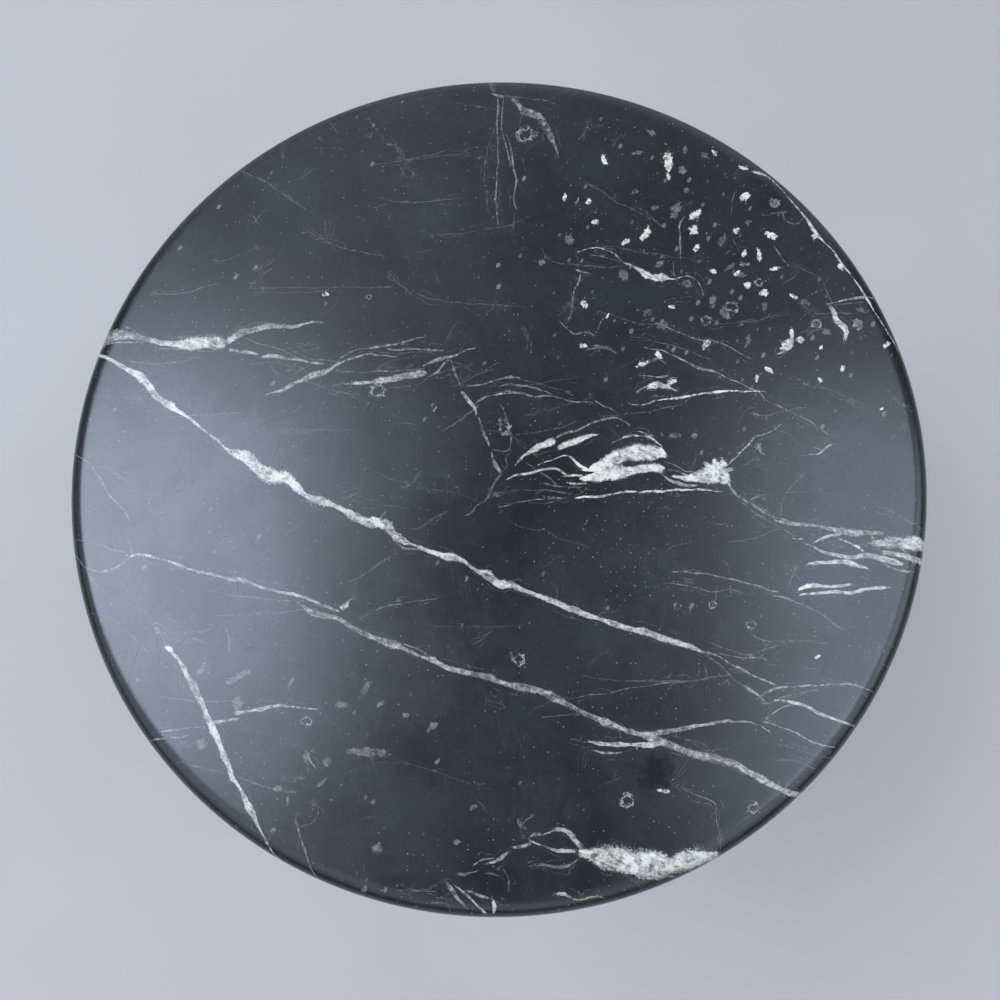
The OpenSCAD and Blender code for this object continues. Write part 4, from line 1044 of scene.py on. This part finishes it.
def stained_board():
    """Plywood stained black: grain along X on the faces, plies that show as layers on the edge."""
    g = Graph("stained_board")
    p = g.coords_mm()
    z = g.split(p)[2]
    grain = g.noise(g.place(p, scale=(18, 1, 1)), 2.2, 5, 0.65)
    figure = g.noise(g.place(p, scale=(5, 1, 1)), 24, 3, 0.6)
    ply = g.math("FRACT", g.math("DIVIDE", z, PLY_MM))
    layer = g.smooth(g.math("ABSOLUTE", g.math("SUBTRACT", ply, 0.5)), 0.40, 0.46)
    tone = g.add(g.mul(grain, 0.6), g.mul(figure, 0.4))
    colour = g.blend(g.smooth(tone, 0.36, 0.64), rgb(0.010, 0.009, 0.008), rgb(0.040, 0.033, 0.028))
    colour = g.blend(g.mul(layer, 0.6), colour, rgb(0.006, 0.005, 0.005))
    roughness = g.smooth(grain, 0.3, 0.7, 0.52, 0.70)
    height = g.add(grain, g.mul(layer, -0.6))
    g.set(Base_Color=colour, Roughness=roughness, IOR=1.48, Normal=g.bump(height, 0.18 * MM))
    return g.material


def plated_metal(name, light, dark, roughness):
    """Turned or plated metal: fine tool marks, passivation clouds and small scratches."""
    g = Graph(name)
    p = g.coords_mm()
    cloud = g.noise(p, 5, 4, 0.6)
    marks = g.noise(g.place(p, scale=(1, 1, 0.12)), 0.35, 2, 0.6)
    scratch = g.smooth(g.noise(g.place(p, angle=35, scale=(30, 1, 1)), 0.5, 2), 0.66, 0.74)
    colour = g.blend(g.smooth(cloud, 0.35, 0.68), light, dark)
    rough = g.add(g.smooth(marks, 0.3, 0.7, roughness - 0.05, roughness + 0.07), g.mul(scratch, 0.1))
    g.set(Base_Color=colour, Metallic=1.0, Roughness=rough, Normal=g.bump(marks, 0.03 * MM))
    return g.material


def cast_iron():
    """Rough iron as it came from the sand, with a little rust."""
    g = Graph("raw_cast_iron")
    p = g.coords_mm()
    sand = g.noise(p, 1.3, 5, 0.7)
    bloom = g.smooth(g.noise(p, 16, 4, 0.65), 0.52, 0.70)
    colour = g.blend(g.smooth(sand, 0.35, 0.65), rgb(0.055, 0.052, 0.050), rgb(0.12, 0.115, 0.11))
    colour = g.blend(g.mul(bloom, 0.5), colour, rgb(0.16, 0.075, 0.035))
    roughness = g.smooth(sand, 0.3, 0.7, 0.6, 0.8)
    g.set(Base_Color=colour, Metallic=0.6, Roughness=roughness, Normal=g.bump(sand, 0.4 * MM))
    return g.material


def black_nylon():
    """Moulded nylon with a fine spark-eroded grain and scuffs."""
    g = Graph("black_nylon")
    p = g.coords_mm()
    grain = g.noise(p, 0.6, 3, 0.6)
    scuff = g.smooth(g.noise(g.place(p, angle=25, scale=(6, 1, 1)), 2.5, 4, 0.65), 0.52, 0.70)
    colour = g.blend(g.mul(scuff, 0.7), rgb(0.016, 0.016, 0.017), rgb(0.05, 0.05, 0.05))
    roughness = g.add(g.smooth(grain, 0.3, 0.7, 0.49, 0.61), g.mul(scuff, 0.08))
    g.set(Base_Color=colour, Roughness=roughness, IOR=1.5, Normal=g.bump(grain, 0.06 * MM))
    return g.material


materials = {
    "black_marble": stone_material(),
    "black_powder_coat": powder_coat(),
    "stained_board": stained_board(),
    "zinc_steel": plated_metal("zinc_steel", rgb(0.62, 0.64, 0.66), rgb(0.50, 0.52, 0.53), 0.32),
    "bare_steel": plated_metal("bare_steel", rgb(0.46, 0.45, 0.44), rgb(0.34, 0.33, 0.32), 0.36),
    "brass": plated_metal("brass", rgb(0.74, 0.56, 0.26), rgb(0.60, 0.43, 0.18), 0.30),
    "raw_cast_iron": cast_iron(),
    "black_nylon": black_nylon(),
}

for entry in frame["record"]["subparts"]:
    node = nodes[entry["node"]]
    node.data.materials.clear()
    node.data.materials.append(materials[entry["material_slot"]])

# ---------------------------------------------------------------- pieces


SMOOTH_BELOW = math.radians(35)  # metal edges sharper than this stay sharp
STONE_SMOOTH_BELOW = math.radians(40)


def add_piece(name, mesh, body, slot_name, *replaced):
    """Puts a mesh in the scene on its body, with its material, in place of the CAD nodes named."""
    piece = bpy.data.objects.new(name, mesh)
    scene.collection.objects.link(piece)
    mesh.materials.append(materials[slot_name])
    mesh.shade_smooth()
    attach(piece, body)
    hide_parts(*replaced)


stone = stone_mesh()
add_pattern(stone)
add_piece("stone", stone, "pedestal", "black_marble", "stone_top")
stone.set_sharp_from_angle(angle=STONE_SMOOTH_BELOW)

# ---------------------------------------------------------------- round and threaded metal pieces


def bezier(points, steps):
    """Points along a cubic curve with four control points."""
    a, b, c, d = (np.array(p, float) for p in points)
    t = np.linspace(0, 1, steps + 1)[:, None]
    return [tuple(p) for p in (1 - t)**3 * a + 3 * (1 - t)**2 * t * b + 3 * (1 - t) * t**2 * c + t**3 * d]


def arc(centre, radius, start, end, steps):
    """Points along an arc between two directions in degrees."""
    turns = [math.radians(start + (end - start) * k / steps) for k in range(steps + 1)]
    return [(centre[0] + radius * math.cos(a), centre[1] + radius * math.sin(a)) for a in turns]


def hexagon(across_flats, count):
    """The radius of a hexagon at count directions."""
    turn = np.linspace(0, FULL_TURN, count, endpoint=False)
    return across_flats / 2 / np.cos(np.mod(turn, math.pi / 3) - math.pi / 6)


def skin(points, faces, rings, count, centre=(0, 0), loop=False):
    """Adds a closed skin through rings about an upright axis.

    A ring is (radius, height) in mm and has count points. Its radius may be an array that differs
    round the ring. A loop joins the last ring to the first.
    """
    start = len(points)
    turn = np.linspace(0, FULL_TURN, count, endpoint=False)
    for radius, height in rings:
        x = centre[0] + radius * np.cos(turn)
        y = centre[1] + radius * np.sin(turn)
        z = np.broadcast_to(height, count)
        points += [tuple(p) for p in np.stack([x, y, z], 1) * MM]
    pairs = list(zip(range(len(rings) - 1), range(1, len(rings))))
    if loop:
        pairs.append((len(rings) - 1, 0))
    for low, high in pairs:
        for k in range(count):
            b = (k + 1) % count
            low_k, high_k = start + low * count, start + high * count
            faces.append((low_k + k, low_k + b, high_k + b, high_k + k))
    if not loop:
        faces.append(tuple(start + k for k in reversed(range(count))))
        faces.append(tuple(start + (len(rings) - 1) * count + k for k in range(count)))


def turned_piece(name, parts, body, slot_name, *replaced):
    """One object from several skins. parts holds (rings, options for skin) for each."""
    points, faces = [], []
    for rings, options in parts:
        skin(points, faces, rings, **options)
    mesh = bpy.data.meshes.new(name)
    mesh.from_pydata(points, [], faces)
    shell = bmesh.new()
    shell.from_mesh(mesh)
    bmesh.ops.recalc_face_normals(shell, faces=shell.faces)
    shell.to_mesh(mesh)
    shell.free()
    add_piece(name, mesh, body, slot_name, *replaced)
    mesh.set_sharp_from_angle(angle=SMOOTH_BELOW)


# Sizes of the pedestal in mm, the same as in the CAD model
FOOT_R, HEAD_R, WALL = 27, 33, 6
BASE_R, BASE_LOW, BASE_TOP = 160, 10, 167
RIM_R, RIM_LOW_R, RIM_LAND = 7, 3, 2
FLARE_LEAN = math.radians(80)
COVER_TOP, COVER_R, COVER_SEAT_R = 13, 151, 147
WEB_LOW, WEB_TOP, ROD_HOLE_R = 137, 149, 6.5
NECK_TOP = 474
HUB_SEAT_R, HUB_SEAT_H = 24.6, 16
CHAMFER = 0.5
BASE_INNER = [(COVER_SEAT_R, 16), (86, 28), (31, 62), (21, WEB_LOW)]
GLIDE_R, FIRST_GLIDE = 116, 45
BALLAST_R = 55
LUG_R = 139
SCREW_R = 90
PLATE_LOW = 475
STEM_TOP = 20.3  # stays clear of the base when the glide is turned right in

# The base's bosses, each once round its section: outside up, then the bore back down
GLIDE_BOSS = [(11, COVER_TOP), (11, 27), (4.5, 27), (4.5, 24), (7.05, 24), (7.05, COVER_TOP)]
BALLAST_BOSS = [(9, 36), (9, 58), (4.05, 58), (4.05, 36)]
COVER_LUG = [(6.5, COVER_TOP), (6.5, 22), (2.05, 22), (2.05, COVER_TOP)]

BASE_SIDES, COLUMN_SIDES = 192, 144
STEM_SIDES, HEX_SIDES = 48, 72
CURVE_STEPS = 72


def base_rings():
    """The base's section, once round: outside from the underside up, then the inside back down."""
    end = arc((BASE_R - RIM_R, BASE_LOW + RIM_LOW_R + RIM_LAND), RIM_R, 0, 80, 12)
    x, z = end[-1]
    flare = bezier([(x, z), (x - 65 * math.sin(FLARE_LEAN), z + 65 * math.cos(FLARE_LEAN)),
                    (FOOT_R + 6, BASE_LOW + 54), (FOOT_R, BASE_TOP)], CURVE_STEPS)
    outside = arc((BASE_R - RIM_LOW_R, BASE_LOW + RIM_LOW_R), RIM_LOW_R, -90, 0, 8) + end + flare[1:-1]
    top = [(FOOT_R, BASE_TOP - CHAMFER), (FOOT_R - CHAMFER, BASE_TOP), (FOOT_R - WALL, BASE_TOP)]
    web = [(FOOT_R - WALL, WEB_TOP), (ROD_HOLE_R, WEB_TOP), (ROD_HOLE_R, WEB_LOW)]
    inside = bezier(BASE_INNER, 40)[::-1]
    rabbet = [(COVER_SEAT_R, COVER_TOP), (COVER_R, COVER_TOP), (COVER_R, BASE_LOW)]
    return outside + top + web + inside + rabbet


def base_parts():
    """The base with its glide bosses, ballast bosses and cover lugs."""
    parts = [(base_rings(), {"count": BASE_SIDES, "loop": True})]
    for section, places, sides in (
        (GLIDE_BOSS, around(4, GLIDE_R, FIRST_GLIDE), 40),
        (BALLAST_BOSS, around(3, BALLAST_R), 40),
        (COVER_LUG, around(4, LUG_R), 32),
    ):
        parts += [(section, {"count": sides, "centre": place, "loop": True}) for place in places]
    return parts


def column_rings():
    """The column's section, once round: outside from the foot up, then the inside back down."""
    outside = bezier([(FOOT_R, BASE_TOP), (FOOT_R - 3.35, BASE_TOP + 57), (FOOT_R - 11, NECK_TOP - 79),
                      (HEAD_R, NECK_TOP)], CURVE_STEPS)
    low = [(FOOT_R - WALL, BASE_TOP), (FOOT_R - CHAMFER, BASE_TOP), (FOOT_R, BASE_TOP + CHAMFER)]
    high = [(HEAD_R - 0.3, NECK_TOP - CHAMFER), (HEAD_R - CHAMFER - 0.3, NECK_TOP)]
    seat = [(HUB_SEAT_R, NECK_TOP), (HUB_SEAT_R, NECK_TOP - HUB_SEAT_H)]
    bore = [(r - WALL, z) for r, z in outside if BASE_TOP + 14 < z < NECK_TOP - HUB_SEAT_H - 1][::-1]
    return low + outside[1:-1] + high + seat + bore + [(FOOT_R - WALL, BASE_TOP + 12)]


def threaded(radius, low, high, pitch):
    """Rings of a thread's flanks between two heights; the upper end tapers."""
    turn = np.linspace(0, 1, STEM_SIDES, endpoint=False)
    depth = 0.6 * pitch
    rings = []
    for z in np.arange(low, high + 1e-6, pitch / 8):
        wave = np.abs(np.mod(z / pitch - turn, 1.0) * 2 - 1)
        bite = depth * np.clip(1.35 * wave - 0.18, 0, 1)
        end = max(0.0, 1.0 - (high - z) / (0.8 * pitch)) * depth
        rings.append((np.minimum(radius - bite, radius - end), z))
    return rings


def hex_head(across_flats, low, high):
    """A hexagon whose corners are bevelled above and below."""
    outline = hexagon(across_flats, HEX_SIDES)
    flat = np.full(HEX_SIDES, across_flats / 2 * 0.97)
    bevel = (outline - flat) * math.tan(math.radians(25))
    return [(flat, low), (outline, low + bevel), (outline, high - bevel), (flat, high)]


def stem_parts(place):
    """A glide's stem: the end that turns in the pad, the hexagon and the thread."""
    ball = [(3.2, 2.05)] + arc((0, 4.5), 5, -30, 0, 5)
    thread = [(3.3, 6.5)] + threaded(4, 7.2, STEM_TOP, 1.25)
    return [
        (ball, {"count": STEM_SIDES, "centre": place}),
        (hex_head(13, 4.5, 7), {"count": HEX_SIDES, "centre": place}),
        (thread, {"count": STEM_SIDES, "centre": place}),
    ]


def pad_rings():
    """A nylon pad: rounded, with a shallow recess round the socket of the stem's end."""
    outside = arc((11.8, 1.2), 1.2, -90, 0, 5) + arc((11.4, 2.9), 1.6, 0, 90, 7)
    return outside + [(8.4, 4.5), (8.0, 4.1), (6.6, 4.1), (6.2, 4.5), (5.05, 4.5), (5.05, 2.0)]


def screw_parts(place):
    """A button-head screw, head down on its washer, with a socket for a 4 mm key."""
    shank_r, head_r, head_h = 3, 5.25, 3.3
    seat = PLATE_LOW - 1.2
    socket = hexagon(4, HEX_SIDES)
    mouth = seat - head_h + 0.35
    angles = [math.radians(a) for a in range(0, 61, 10)]
    rings = [(shank_r, PLATE_LOW + 13), (shank_r, seat), (head_r, seat)]
    rings += [(head_r * math.cos(a), seat - 0.3 - 3.0 * math.sin(a)) for a in angles]
    rings += [(socket * 1.04, mouth - 0.05), (socket, mouth + 0.15), (socket, mouth + 1.9)]
    rings.append((1.2, mouth + 2.4))
    return (rings, {"count": HEX_SIDES, "centre": place})


turned_piece("base", base_parts(), "pedestal", "black_powder_coat", "base_rim", "base_flare", "base_neck")
column_parts = [(column_rings(), {"count": COLUMN_SIDES, "loop": True})]
turned_piece("turned_column", column_parts, "pedestal", "black_powder_coat", "column")
screws = [screw_parts(place) for place in around(4, SCREW_R, FIRST_GLIDE)]
turned_piece("button_screws", screws, "pedestal", "zinc_steel", "plate_screws")
for number, place in enumerate(around(4, GLIDE_R, FIRST_GLIDE), 1):
    turned_piece(f"threaded_stem_{number}", stem_parts(place), f"glide_{number}_screw", "zinc_steel",
                 f"glide_stem_{number}")
    pad_parts = [(pad_rings(), {"count": HEX_SIDES, "centre": place})]
    turned_piece(f"moulded_pad_{number}", pad_parts, f"glide_{number}_foot", "black_nylon",
                 f"glide_pad_{number}")

# ---------------------------------------------------------------- floor and light


FLOOR_HALF = 6.0
FLOOR_DARK = rgb(0.40, 0.365, 0.34)
FLOOR_LIGHT = rgb(0.42, 0.385, 0.36)
PALE_BLUE = (0.85, 1.0, 1.22)
TABLE_TOP = (0, 0, TOP_Z)

# Soft lights: name, place, width, depth, radiance in W per m2 and steradian, and where it points,
# which is straight down if nothing is given
PANELS = [
    ("left_panel", (-1.5, 0.19, 2.6), 1.7, 1.3, 8.7, None),
    ("right_panel", (1.2, -0.02, 2.6), 1.0, 1.57, 4.6, None),
    ("front_left_panel", (-1.0, -1.2, 2.3), 1.3, 1.3, 1.2, TABLE_TOP),
    ("front_right_panel", (1.2, -1.2, 2.3), 1.3, 1.3, 1.3, TABLE_TOP),
    ("low_right_panel", (2.0, -0.1, 1.7), 1.3, 1.0, 2.0, TABLE_TOP),
    ("back_left_panel", (-0.8, 1.1, 2.4), 1.5, 1.2, 0.6, TABLE_TOP),
    ("back_panel", (0, 1.3, 1.2), 2.8, 1.5, 0.6, (0, 0, 1.2)),
]


def floor_material():
    """A plain pale floor with hardly any clouds."""
    g = Graph("studio_floor")
    tone = g.noise(g.coords_mm(), 400, 3)
    g.set(Base_Color=g.blend(g.smooth(tone, 0.3, 0.7), FLOOR_DARK, FLOOR_LIGHT), Roughness=0.75)
    return g.material


def make_floor():
    """The floor under the table, which is no part of it."""
    mesh = bpy.data.meshes.new("floor")
    corners = [(x * FLOOR_HALF, y * FLOOR_HALF, 0) for x, y in ((-1, -1), (1, -1), (1, 1), (-1, 1))]
    mesh.from_pydata(corners, [], [(0, 1, 2, 3)])
    mesh.materials.append(floor_material())
    floor = bpy.data.objects.new("floor", mesh)
    scene.collection.objects.link(floor)


def make_panel(name, place, width, depth, radiance, target):
    """One soft light from PANELS."""
    data = bpy.data.lights.new(name, "AREA")
    data.shape = "RECTANGLE"
    data.size = width
    data.size_y = depth
    data.energy = radiance * math.pi * width * depth
    data.color = PALE_BLUE
    light = bpy.data.objects.new(name, data)
    scene.collection.objects.link(light)
    light.location = place
    if target:
        light.rotation_euler = (Vector(target) - Vector(place)).to_track_quat("-Z", "Y").to_euler()


def height_ramp(tree, height, stops):
    """Colour against height above the horizon, as the sine of the elevation."""
    ramp = tree.nodes.new("ShaderNodeValToRGB")
    tree.links.new(height, ramp.inputs[0])
    ramp.color_ramp.interpolation = "EASE"
    for place, _ in stops[2:]:
        ramp.color_ramp.elements.new(place)
    for element, (place, colour) in zip(ramp.color_ramp.elements, stops):
        element.position = place
        element.color = rgb(*colour)
    return ramp.outputs[0]


def shade_world(tree):
    """A dim ceiling over pale surroundings, with a bright band low in front of the table."""
    coords = tree.nodes.new("ShaderNodeTexCoord")
    way = tree.nodes.new("ShaderNodeSeparateXYZ")
    front = tree.nodes.new("ShaderNodeMapRange")
    mix = tree.nodes.new("ShaderNodeMix")
    mix.data_type = "RGBA"
    front.interpolation_type = "SMOOTHSTEP"
    front.inputs["From Min"].default_value = 0.5
    front.inputs["From Max"].default_value = -0.5
    tree.links.new(coords.outputs["Generated"], way.inputs[0])
    tree.links.new(way.outputs["Y"], front.inputs["Value"])
    ceiling = [(0.85, (0.25, 0.31, 0.40)), (0.97, (0.05, 0.075, 0.11))]
    behind = [(0.02, (0.20, 0.22, 0.25)), (0.20, (0.08, 0.095, 0.115)), (0.55, (0.12, 0.15, 0.19))]
    before = [(0.12, (0.06, 0.07, 0.08)), (0.34, (1.15, 1.34, 1.58)), (0.58, (0.95, 1.10, 1.30))]
    back, fore = [socket for socket in mix.inputs if socket.type == "RGBA"]
    colour = [socket for socket in mix.outputs if socket.type == "RGBA"][0]
    tree.links.new(front.outputs["Result"], mix.inputs[0])
    tree.links.new(height_ramp(tree, way.outputs["Z"], behind + ceiling), back)
    tree.links.new(height_ramp(tree, way.outputs["Z"], before + ceiling), fore)
    tree.links.new(colour, tree.nodes["Background"].inputs["Color"])


make_floor()
for panel in PANELS:
    make_panel(*panel)
world = bpy.data.worlds.new("studio")
world.use_nodes = True
scene.world = world
shade_world(world.node_tree)
